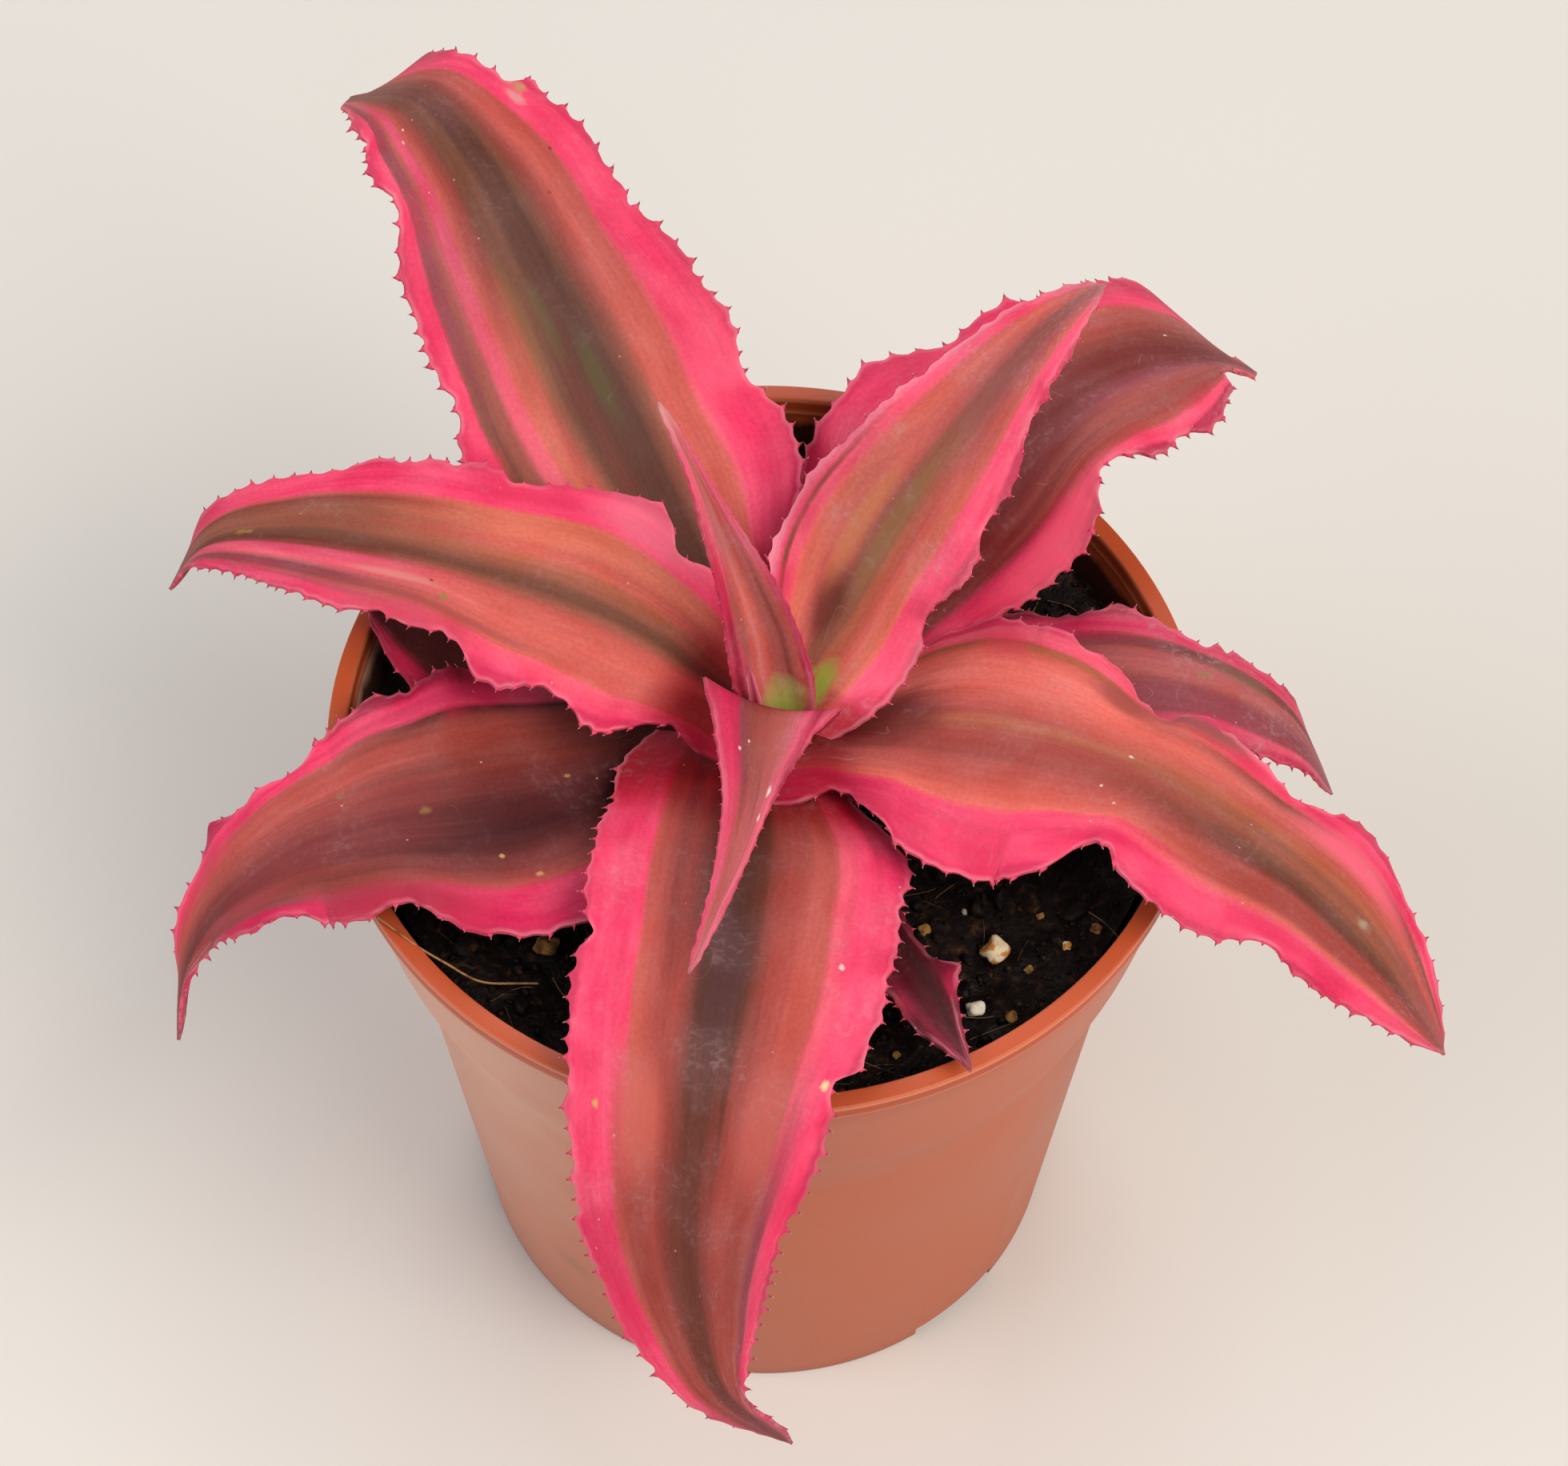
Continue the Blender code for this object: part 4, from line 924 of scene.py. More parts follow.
               (0.62, 9.3), (0.65, 8.3), (0.67, 7.6), (0.7, 6.9), (0.73, 6.4), (0.76, 5.9), (0.8, 5.1),
               (0.83, 4.6), (0.86, 4.3), (0.88, 4.2), (0.9, 3.8), (0.92, 3), (0.94, 2), (0.96, 1.3),
               (1, 0.3)),
        folds=((0.15, -1, 0.7), (0.23, 1, 0.6), (0.41, 1, 0.7)),
        near=((0, "carmine"), (0.03, "pink"), (0.17, "pink"), (0.2, "apricot"), (0.3, "apricot"),
              (0.37, "coral"), (0.43, "copper"), (0.49, "sepia"), (0.52, "bark"), (0.56, "bark"),
              (0.59, "sepia"), (0.63, "clay"), (0.68, "coral"), (0.76, "coral"), (0.82, "coral"),
              (0.865, "coral"), (0.885, "salmon"), (0.97, "pink"), (1, "carmine")),
        far=((0, "carmine"), (0.03, "pink"), (0.175, "pink"), (0.2, "clay"), (0.23, "russet"),
             (0.27, "sepia"), (0.36, "sepia"), (0.45, "sepia"), (0.5, "bark"), (0.56, "walnut"),
             (0.6, "russet"), (0.63, "cerise"), (0.73, "salmon"), (0.76, "oldRose"), (0.79, "mulberry"),
             (0.84, "mulberry"), (0.865, "rosewood"), (0.89, "cerise"), (0.97, "pink"), (1, "carmine")),
        tip=("#96545A", 0.6), base=(0.12, "#C87490"), scurf=0.5,
        spots=((0.805, 0.49, 0.9, "#9C7A3C"), (0.79, 0.49, 0.7, "#9C7A3C"), (0.44, 0.76, 0.7, "#98783E"),
               (0.465, 0.69, 0.3, "#7A3030")),
        # the second flush, pale pink near the base of the right margin, is a painted highlight
        flushesAndPaintedLight=((0.5, 0.94, 10, 3, "#C24452", 0.6), (0.2, 0.06, 7, 4, "#FF8498", 0.5),
                 (0.72, 0.49, 14, 1.2, "#6E4638", 0.5), (0.52, 0.71, 7, 0.9, "#D89084", 0.5),
                 (0.45, 0.83, 16, 0.8, "#9A4A44", 0.6), (0.62, 0.9, 12, 0.7, "#A04A4C", 0.5)),
    ),
    "leaf_back_right": dict(
        slot="leaf_striped", heading=50, tilt=0, channel=(0.12, 0.12), wave=0.8, wavelength=22, phase=0,
        teeth=0.7,
        root=((0, -1.5, 87, 2.5, 4.5), (1.5, -1.5, 88.5, 3, 6)),
        stations=((3.6, -1.5, 90.2), (11, -1.5, 94.2), (17.6, -1.2, 99.5), (23.5, -1.6, 105),
                  (29.6, -2.1, 109.5), (36, -2.7, 113), (42, -3.5, 115.5), (48, -4.4, 116)),
        left=((0, 3.5), (0.05, 5.8), (0.1, 7.3), (0.15, 8.9), (0.2, 10.5), (0.25, 10.8), (0.3, 10.9),
              (0.36, 11), (0.4, 10.4), (0.45, 9.3), (0.5, 8.6), (0.55, 8.1), (0.6, 7.6), (0.64, 6.7),
              (0.66, 6.7), (0.7, 6.3), (0.75, 5.6), (0.8, 4.9), (0.85, 3.9), (0.87, 3.2), (0.9, 2.7),
              (0.95, 1.7), (1, 0.3)),
        right=((0, 7.8), (0.05, 8.6), (0.1, 9), (0.15, 8.9), (0.18, 8.9), (0.2, 8.6), (0.22, 7.9),
               (0.23, 7.6), (0.25, 7.6), (0.27, 7.9), (0.3, 8.5), (0.33, 9.1), (0.35, 9.5), (0.4, 9.5),
               (0.42, 9.2), (0.44, 8.5), (0.46, 7.7), (0.48, 7.5), (0.52, 7.7), (0.58, 7.6), (0.6, 7.2),
               (0.62, 6.9), (0.64, 6.2), (0.66, 5.7), (0.7, 5.2), (0.72, 5), (0.74, 5.2), (0.76, 4.5),
               (0.8, 4.1), (0.83, 3.8), (0.86, 3.1), (0.9, 2.2), (0.95, 1.2), (1, 0.3)),
        folds=((0.23, -1, 0.7), (0.47, -1, 0.5)),
        near=((0, "cerise"), (0.03, "flamingo"), (0.19, "flamingo"), (0.215, "peach"), (0.26, "apricot"),
              (0.36, "coral"), (0.44, "copper"), (0.49, "sepia"), (0.55, "sepia"), (0.6, "sepia"),
              (0.63, "clay"), (0.67, "coral"), (0.74, "coral"), (0.82, "apricot"), (0.87, "peach"),
              (0.89, "salmon"), (0.93, "salmon"), (0.95, "russet"), (0.965, "rosewood"), (0.975, "pink"),
              (1, "blush")),
        far=((0, "carmine"), (0.03, "flamingo"), (0.17, "flamingo"), (0.2, "coral"), (0.28, "clay"),
             (0.38, "rosewood"), (0.46, "sepia"), (0.53, "sepia"), (0.58, "sepia"), (0.61, "rosewood"),
             (0.68, "clay"), (0.78, "coral"), (0.85, "coral"), (0.88, "salmon"), (0.93, "flamingo"),
             (1, "blush")),
        tip=("#9A5C62", 0.7), base=(0.05, "#D8A0A0"), scurf=1.1,
        spots=((0.03, 0.39, 2.8, "#93A23E"), (-0.01, 0.37, 2.6, "#93A23E")),
        flushesAndPaintedLight=((0.16, 0.63, 6, 3, "#5A281E", 0.8), (0.34, 0.68, 9, 1.8, "#C88A40", 0.4),
                 (0.36, 0.52, 12, 1.6, "#94703A", 0.5), (0.78, 0.5, 12, 5, "#8A4A50", 0.5)),
    ),
    "leaf_centre_front": dict(
        slot="leaf_young", heading=262, tilt=-6, channel=(0.27, 0.2), wave=0.2, wavelength=14, phase=0,
        teeth=0.4,
        stations=((3.4, 0.9, 90), (4.5, 1.1, 95.2), (5.6, 1.2, 96.8), (8, 1.3, 97.5), (11, 1.5, 97.8),
                  (17, 1.7, 98.4), (24, 1.1, 98.5), (31, -0.3, 98.2), (37, -1.8, 97.6)),
        left=((0, 5), (0.135, 6.8), (0.185, 6.6), (0.25, 5), (0.33, 3.6), (0.48, 1.6), (0.66, 0.8),
              (0.84, 0.5), (1, 0.25)),
        right=((0, 5), (0.135, 7), (0.185, 6.8), (0.25, 5.6), (0.33, 4.8), (0.48, 3.4), (0.66, 2.2),
               (0.84, 1.1), (1, 0.25)),
        near=((0, "ruby"), (0.03, "ruby"), (0.14, "carmine"), (0.22, "ruby"), (0.27, "mulberry"),
              (0.36, "russet"), (0.5, "russet"), (0.66, "rosewood"), (0.76, "oldRose"), (0.86, "cerise"),
              (0.96, "crimson"), (1, "cerise")),
        far=((0, "carmine"), (0.12, "cerise"), (0.25, "rosewood"), (0.5, "oldRose"), (0.7, "oldRose"),
             (0.85, "cerise"), (1, "cerise")),
        tip=("#B4525C", 0.6), base=(0.2, "#B87880"), scurf=1.0,
        spots=((0.46, 0.78, 0.75, "#EAD6CC"), (0.54, 0.74, 0.6, "#E4C8BE"), (0.34, 0.24, 0.28, "#F8D8D8"),
               (0.31, 0.34, 0.22, "#F8D0D0")),
        # the two narrow dark crimson bands at 0.15 are painted shade across the bend of the leaf
        flushesAndPaintedLight=((0.15, 0.82, 1.6, 4, "#6E1E2C", 0.8), (0.32, 0.55, 7, 3, "#B4544E", 0.5),
                 (0.15, 0.6, 1.6, 7, "#6E1A28", 0.6)),
    ),
    "leaf_centre_up": dict(
        slot="leaf_young", heading=112, tilt=0, channel=(0.45, 0.45), wave=0.1, wavelength=14, phase=0,
        teeth=0.4,
        root=((-2.2, -0.2, 89, 2, 3.5),),
        stations=((-1, -0.2, 91.6), (0.6, -0.2, 93.8), (2.4, -0.2, 98), (5.3, 0.6, 104), (8.4, 1.7, 110),
                  (12, 2.7, 115), (15, 3.7, 118.5), (17, 4.5, 121)),
        left=((0, 3), (0.08, 3.6), (0.2, 3.7), (0.4, 2.6), (0.6, 1.7), (0.78, 0.9), (0.91, 0.5), (1, 0.3)),
        right=((0, 4.2), (0.08, 4.4), (0.2, 3.8), (0.4, 3), (0.6, 1.7), (0.78, 0.8), (0.91, 0.5), (1, 0.3)),
        near=((0, "ruby"), (0.03, "crimson"), (0.07, "clay"), (0.13, "rosewood"), (0.2, "russet"),
              (0.26, "rosewood"), (0.34, "rosewood"), (0.45, "coral"), (0.55, "dustyRose"), (0.64, "coral"),
              (0.75, "oldRose"), (0.85, "cerise"), (0.9, "crimson"), (0.97, "crimson"), (1, "ruby")),
        far=((0, "cerise"), (0.06, "cerise"), (0.2, "oldRose"), (0.34, "clay"), (0.5, "oldRose"),
             (0.65, "oldRose"), (0.85, "salmon"), (0.95, "ruby"), (1, "cerise")),
        tip=("#D8988C", 0.9), base=(0.1, "#E8D0C8"), scurf=1.2,
        spots=((-0.01, 0.42, 3.0, "#A3AE50"), (-0.07, 0.45, 2.6, "#A3AE50")),
        flushesAndPaintedLight=((0.3, 0.78, 6, 1.4, "#8E5A40", 0.4), (0.62, 0.5, 10, 1, "#B87468", 0.4)),
    ),
    "leaf_bud": dict(
        slot="leaf_young", heading=112, tilt=0, channel=(0, 0), wave=0, wavelength=14, phase=0, teeth=0.25,
        stations=((-2.6, 1.7, 91.2), (-2.3, 2, 94.5), (-0.8, 2.2, 99)),
        left=((0, 0.7), (0.42, 0.55), (1, 0.25)),
        right=((0, 0.7), (0.42, 0.55), (1, 0.25)),
        near=((0, "blush"), (0.12, "crimson"), (0.5, "garnet"), (0.85, "crimson"), (1, "blush")),
        tip=("#A04050", 0.5), base=(0.3, "#C09080"), scurf=0.4,
    ),
}


def smooth(knots, values, at):
    # a smooth curve through values at uneven knots, read at the places in at
    slopes = np.gradient(values, knots, axis=0)
    i = np.clip(np.searchsorted(knots, at, side="right") - 1, 0, len(knots) - 2)
    span = (knots[i + 1] - knots[i])[:, None]
    f = (at - knots[i])[:, None] / span
    start = (1 + 2 * f) * (1 - f) ** 2 * values[i] + f * (1 - f) ** 2 * span * slopes[i]
    end = f ** 2 * (3 - 2 * f) * values[i + 1] - f ** 2 * (1 - f) * span * slopes[i + 1]
    return start + end


class Blade:
    # bends a flat leaf, measured along its midrib and across it as a share of its half-width, into place
    def __init__(self, leaf, draw):
        turn = math.radians(leaf["heading"])
        roots = leaf.get("root", ())
        rows = np.array([row[:3] for row in roots + leaf["stations"]], float) * mm
        out = np.array([math.cos(turn), math.sin(turn), 0])
        self.aside = np.array([-math.sin(turn), math.cos(turn), 0])
        self.points = rows[:, :1] * out + rows[:, 1:2] * self.aside + rows[:, 2:3] * np.array([0, 0, 1])
        knots = np.concatenate([[0], np.cumsum(np.linalg.norm(np.diff(self.points, axis=0), axis=1))])
        self.knots = knots - knots[len(roots)]
        self.start, self.length = self.knots[0], self.knots[-1]
        self.edges = {}
        for column, sign, side in ((3, 1, "left"), (4, -1, "right")):
            pairs = [(self.knots[k], roots[k][column] * mm) for k in range(len(roots))]
            pairs += [(share * self.length, half * mm) for share, half in leaf[side]]
            self.edges[sign] = np.array(pairs)
        self.width = max(edge[:, 1].max() for edge in self.edges.values()) * 2
        self.tilt = math.radians(leaf["tilt"])
        self.channel = leaf["channel"]
        self.wave = leaf["wave"] * mm
        self.turns = math.tau / (leaf["wavelength"] * mm)
        self.phase = leaf["phase"]
        self.folds = leaf.get("folds", ())
        self.teeth = leaf["teeth"]
        self.crimpPhase = draw.uniform(0, math.tau)
        self.spines = {side: self.spinePlaces(draw) for side in (-1, 1)}

    def spinePlaces(self, draw):
        # where the spines of one edge stand, in metres along the midrib
        places = []
        place = leafShared["firstSpine"]
        while place < self.length - leafShared["lastSpine"]:
            places.append(place)
            spacing = leafShared["spineSpacing"] * (0.55 + 0.45 * self.teeth)
            place += spacing + draw.uniform(-1, 1) * leafShared["spineJitter"]
        return np.array(places)

    def halfWidth(self, along, sign):
        # the half-width with the fine raggedness of its margin
        edge = self.edges[sign]
        width = np.maximum(smooth(edge[:, 0], edge[:, 1:], along)[:, 0], 0.2 * mm)
        taper = np.maximum(np.clip((self.length - along) / leafShared["tip"], 0, 1), 0.02) ** 0.6
        beat = math.tau * along / mm
        ragged = np.sin(beat / 3.1 + sign + self.crimpPhase)
        ragged = ragged + 0.7 * np.sin(beat / 1.7 + 2.3 * self.crimpPhase)
        return (width + leafShared["ragged"] * self.teeth * ragged * np.clip(width / (4 * mm), 0, 1)) * taper

    def calmWidth(self, along, sign):
        # the half-width without its notches, which the colour bands keep to
        edge = self.edges[sign]
        room = np.minimum(np.minimum(along - self.start, self.length - along), leafShared["calm"])
        total, weights = 0, 0
        for step in np.linspace(-1, 1, 11):
            weight = math.exp(-(1.6 * step) ** 2)
            total = total + weight * smooth(edge[:, 0], edge[:, 1:], along + step * room)[:, 0]
            weights += weight
        return np.maximum(total / weights, 0.2 * mm)

    def sided(self, width, along, share):
        # a width of the side that each point lies on
        return np.where(share > 0, width(along, 1), width(along, -1))

    def band(self, along, share):
        # where a point lies among the bands, from 0 at the right edge to 1 at the left
        half = self.sided(self.halfWidth, along, share)
        calm = self.sided(self.calmWidth, along, share)
        return 0.5 + 0.5 * np.clip(share * half / calm, -1.2, 1.2)

    def bend(self, along, share):
        # the places in space of points given by their way along the midrib and their share of the half-width
        step = 0.1 * mm
        centre = smooth(self.knots, self.points, along)
        ahead = smooth(self.knots, self.points, np.minimum(along + step, self.length))
        behind = smooth(self.knots, self.points, np.maximum(along - step, self.start))
        forward = ahead - behind
        forward /= np.linalg.norm(forward, axis=1, keepdims=True)
        side = self.aside - (forward @ self.aside)[:, None] * forward
        side /= np.linalg.norm(side, axis=1, keepdims=True)
        up = np.cross(forward, side)
        leaned = side * math.cos(self.tilt) + up * math.sin(self.tilt)
        up = up * math.cos(self.tilt) - side * math.sin(self.tilt)
        half = self.sided(self.halfWidth, along, share)
        fade = np.sin(math.pi * np.clip(along / self.length, 0, 1)) ** 0.5
        flip = np.where(share > 0, 0, math.pi)
        beyond = np.clip((along / self.length - 0.12) / 0.25, 0, 1)
        channel = self.channel[0] + (self.channel[1] - self.channel[0]) * beyond
        lift = channel * half * share ** 2
        lift += self.wave * fade * np.sin(self.turns * along + self.phase + flip) * np.abs(share) ** 3
        # small crimps of the soft margin, and folds where it buckles
        broad = np.clip(half / (12 * mm), 0, 1)
        beat = np.sin(math.tau * along / leafShared["crimpLength"] + self.crimpPhase + 1.7 * flip)
        swell = 0.5 + 0.5 * np.sin(math.tau * along / leafShared["swellLength"] + self.crimpPhase * 2 + flip)
        lift += leafShared["crimp"] * fade ** 2 * broad * beat * swell * np.abs(share) ** 5
        for place, sign, depth in self.folds:
            crease = np.exp(-((along - place * self.length) / leafShared["foldWidth"]) ** 2)
            lift -= np.where(np.sign(share) == sign, depth * mm * crease * np.abs(share) ** 4, 0)
        reach = share * half
        # the margin swells a little where each spine stands
        for sign, places in self.spines.items():
            if len(places) == 0:
                continue
            near = np.abs(along[:, None] - places[None, :]).min(axis=1)
            swelling = leafShared["scallop"] * self.teeth * np.exp(-(near / leafShared["scallopWidth"]) ** 2)
            reach += np.where(np.sign(share) == sign, sign * swelling * np.abs(share) ** 12, 0)
        return centre + leaned * reach[:, None] + up * lift[:, None]


# patterns of the skin: their length and width in millimetres, and their detail
skinPatterns = dict(
    thread=(16, 0.35, 2),  # vein threads
    streak=(34, 1.6, 2),  # streaks between them
    drift=(14, 9, 1),  # slow drifts of the bands
    cloud=(8, 4, 3),  # soft patches of pigment
    swell=(9, 14, 1),  # swells of painted shade, crimson, at the margins
)


def skinMaterial(name, leaf, blade):
    # a fleshy bromeliad leaf: a satin, waxy skin with lengthwise bands, veins and silvery scurf
    material, add, shader = newMaterial("waxy_skin_" + name, 0.5, 0.12)
    lengthMm, widthMm = blade.length / mm, blade.width / mm
    seed = sum(map(ord, name)) % 97  # keeps the patterns of two leaves apart
    uv = add("UVMap", uv_map="alongAcross")
    along = add("SeparateXYZ", {0: uv})
    across = along.node.outputs[1]
    flat = add("VectorMath", {0: uv, 1: (lengthMm, widthMm, 0), 2: (seed, seed * 3, seed)},
               operation="MULTIPLY_ADD")  # in millimetres
    patterns = {}
    for pattern, (length, width, detail) in skinPatterns.items():
        at = add("VectorMath", {0: flat, 1: (1 / length, 1 / width, 1)}, operation="MULTIPLY")
        patterns[pattern] = add("TexNoise", {"Vector": at, "Scale": 1, "Detail": detail})
    thread, streak, drift, cloud, marginShadeSwells = patterns.values()

    # the bands, near the base and further out
    moved = add("Math", {0: drift, 1: 0.04, 2: across}, operation="MULTIPLY_ADD")
    frayed = add("Math", {0: thread, 1: 0.012, 2: moved}, operation="MULTIPLY_ADD")
    lane = add("Math", {0: frayed, 1: 0.026}, operation="SUBTRACT")
    ramps = [add("ValToRGB", {0: lane}, stops=[(at, tones[tone]) for at, tone in leaf[bands]])
             for bands in ("near", "far") if bands in leaf]
    tone = ramps[0]
    if len(ramps) == 2:
        reach = add("Math", {0: streak, 1: 0.3, 2: along}, operation="MULTIPLY_ADD")
        further = add("MapRange", {0: reach, 1: 0.5, 2: 0.8}, interpolation_type="SMOOTHSTEP")
        tone = add("Mix", {0: further, 6: ramps[0], 7: ramps[1]}, data_type="RGBA", out=2)
    # veins and streaks, lighter and darker, and the grain of cells and scales, half a millimetre across
    light = add("MapRange", {0: streak, 1: 0.3, 2: 0.7, 3: 0.89, 4: 1.09})
    fine = add("MapRange", {0: thread, 1: 0.3, 2: 0.7, 3: 0.965, 4: 1.03})
    both = add("Math", {0: light, 1: fine}, operation="MULTIPLY")
    grain = add("TexNoise", {"Vector": flat, "Scale": 2.0, "Detail": 3})
    speckle = add("MapRange", {0: grain, 1: 0.35, 2: 0.65, 3: 0.935, 4: 1.065})
    shade = add("Math", {0: both, 1: speckle}, operation="MULTIPLY")
    tone = add("HueSaturation", {"Value": shade, "Color": tone})
    cloudTone = add("MapRange", {0: cloud, 1: 0.3, 2: 0.7, 3: 0.94, 4: 1.05})
    cloudDepth = add("MapRange", {0: cloud, 1: 0.35, 2: 0.7, 3: 1.03, 4: 0.97})
    tone = add("HueSaturation", {"Value": cloudTone, "Saturation": cloudDepth, "Color": tone})

    def onSkin(shareAlong, shareAcross):
        return (shareAlong * lengthMm + seed, shareAcross * widthMm + seed * 3, seed)

    # coats laid over the bands, one after another: a mask, a tone and how it is mixed
    coats = []
    # painted shade on the margins: they deepen to crimson in slow swells, as where they fold away from the
    # light
    offMiddle = add("Math", {0: across, 1: 0.5}, operation="SUBTRACT")
    outwards = add("Math", {0: offMiddle}, operation="ABSOLUTE")
    outer = add("MapRange", {0: outwards, 1: 0.3, 2: 0.4, 3: 0.0, 4: 0.55})
    swell = add("MapRange", {0: marginShadeSwells, 1: 0.48, 2: 0.66, 3: 0.0, 4: 1.0}, interpolation_type="SMOOTHSTEP")
    coats.append((add("Math", {0: outer, 1: swell}, operation="MULTIPLY"), "#D4244E", "MIX"))
    # broad flushes and stains, with some patches of painted light and painted shade among them, soft at their
    # edges
    for shareAlong, shareAcross, halfLong, halfWide, flushTone, strength in leaf.get("flushesAndPaintedLight", ()):
        off = add("VectorMath", {0: flat, 1: onSkin(shareAlong, shareAcross)}, operation="SUBTRACT")
        scaled = add("VectorMath", {0: off, 1: (1 / halfLong, 1 / halfWide, 0)}, operation="MULTIPLY")
        span = add("VectorMath", {0: scaled}, operation="LENGTH", out="Value")
        spread = add("Math", {0: cloud, 1: 0.5, 2: span}, operation="MULTIPLY_ADD")
        flush = add("MapRange", {0: spread, 1: 0.55, 2: 1.35, 3: strength, 4: 0.0},
                    interpolation_type="SMOOTHSTEP")
        coats.append((flush, flushTone, "MIX"))
    # the tip, dull with dried scurf
    tipTone, tipStrength = leaf["tip"]
    tipReach = add("Math", {0: drift, 1: 0.12, 2: along}, operation="MULTIPLY_ADD")
    coats.append((add("MapRange", {0: tipReach, 1: 0.93, 2: 1.05, 3: 0.0, 4: tipStrength}), tipTone, "MIX"))
    # painted shade at the base, darker where it is tucked into the heart
    baseEnd, baseShadeTint = leaf["base"]
    paintedBaseShade = add("MapRange", {0: along, 1: baseEnd * 0.35, 2: baseEnd, 3: 0.95, 4: 0.0},
                 interpolation_type="SMOOTHSTEP")
    coats.append((paintedBaseShade, baseShadeTint, "MULTIPLY"))
    # spots and scars
    for shareAlong, shareAcross, radius, spotTone in leaf.get("spots", ()):
        off = add("VectorMath", {0: flat, 1: onSkin(shareAlong, shareAcross)}, operation="DISTANCE",
                  out="Value")
        wobble = add("TexNoise", {"Vector": flat, "Scale": 1 / radius, "Detail": 3})
        ragged = add("Math", {0: wobble, 1: 1.6 * radius, 2: off}, operation="MULTIPLY_ADD")
        spot = add("MapRange", {0: ragged, 1: radius * 1.1, 2: radius * 1.9, 3: 0.85, 4: 0.0})
        coats.append((spot, spotTone, "MIX"))
    # a painted highlight along the thin edge, pale as if light came through it, here and there
    inward = add("Attribute", attribute_name="inward", out="Fac")
    paintedRimLight = add("MapRange", {0: inward, 1: 0.15, 2: 0.55, 3: 0.45, 4: 0.0})
    here = add("MapRange", {0: streak, 1: 0.42, 2: 0.6, 3: 0.15, 4: 1.0})
    coats.append((add("Math", {0: paintedRimLight, 1: here}, operation="MULTIPLY"), "#F58A9A", "MIX"))
    # silvery scurf: thin flakes lying crosswise in patches, thicker near the tip
    patches = add("TexNoise", {"Vector": flat, "Scale": 1 / 7, "Detail": 3})
    patchMask = add("MapRange", {0: patches, 1: 0.5, 2: 0.72, 3: 0.06, 4: 0.8})
    tipScurf = add("MapRange", {0: along, 1: 0.72, 2: 1.0, 3: 0.0, 4: 0.6})
    spread = add("Math", {0: patchMask, 1: tipScurf}, operation="ADD")
    flakeAt = add("VectorMath", {0: flat, 1: (1 / 0.8, 1 / 1.3, 1)}, operation="MULTIPLY")
    flakes = add("TexNoise", {"Vector": flakeAt, "Scale": 1, "Detail": 4, "Roughness": 0.6,
                              "Distortion": 0.8})
    flakeMask = add("MapRange", {0: flakes, 1: 0.5, 2: 0.75, 3: 0.0, 4: leaf["scurf"] * 0.36})
    scurf = add("Math", {0: spread, 1: flakeMask}, operation="MULTIPLY", use_clamp=True)
    coats.append((scurf, "#CFAEAA", "MIX"))
    # a thin grey film of it, in smooth patches
    film = add("MapRange", {0: patches, 1: 0.46, 2: 0.74, 3: 0.0, 4: 0.14 * leaf["scurf"]})
    coats.append((film, "#A07C80", "MIX"))
    # fine curled scratches through the scurf
    curls = add("TexNoise", {"Vector": flat, "Scale": 1 / 9, "Detail": 0, "Distortion": 1.2})
    midway = add("Math", {0: curls, 1: 0.5}, operation="SUBTRACT")
    offLine = add("Math", {0: midway}, operation="ABSOLUTE")
    line = add("MapRange", {0: offLine, 1: 0.0006, 2: 0.003, 3: 1.0, 4: 0.0})
    broken = add("MapRange", {0: cloud, 1: 0.55, 2: 0.62, 3: 0.0, 4: 0.22 * leaf["scurf"]})
    coats.append((add("Math", {0: line, 1: broken}, operation="MULTIPLY", use_clamp=True), "#D8B4A8", "MIX"))
    # stray pale specks, one here and there
    cells = add("TexVoronoi", {"Vector": flat, "Scale": 1 / 3.0}, out="Distance")
    dots = add("MapRange", {0: cells, 1: 0.03, 2: 0.06, 3: 1.0, 4: 0.0})
    pick = add("SeparateColor", {0: cells.node.outputs["Color"]})
    chosen = add("Math", {0: pick, 1: 0.72}, operation="GREATER_THAN")
    specks = add("Math", {0: dots, 1: chosen}, operation="MULTIPLY")
    coats.append((add("Math", {0: specks, 1: 0.5}, operation="MULTIPLY"), "#E8BDB0", "MIX"))
    for mask, tint, blend in coats:
        tone = add("Mix", {0: mask, 6: tone, 7: colour(tint)}, data_type="RGBA", blend_type=blend, out=2)
    feed(shader, "Base Color", tone)
    feed(shader, "Roughness", add("MapRange", {0: scurf, 1: 0.0, 2: 0.5, 3: 0.46, 4: 0.75}))
    ribs = add("Math", {0: streak, 1: 2.0, 2: thread}, operation="MULTIPLY_ADD")
    relief = add("Math", {0: scurf, 1: 0.8, 2: ribs}, operation="MULTIPLY_ADD")
    feed(shader, "Normal", add("Bump", {"Strength": 0.3, "Distance": 0.12 * mm, "Height": relief}))
    return material


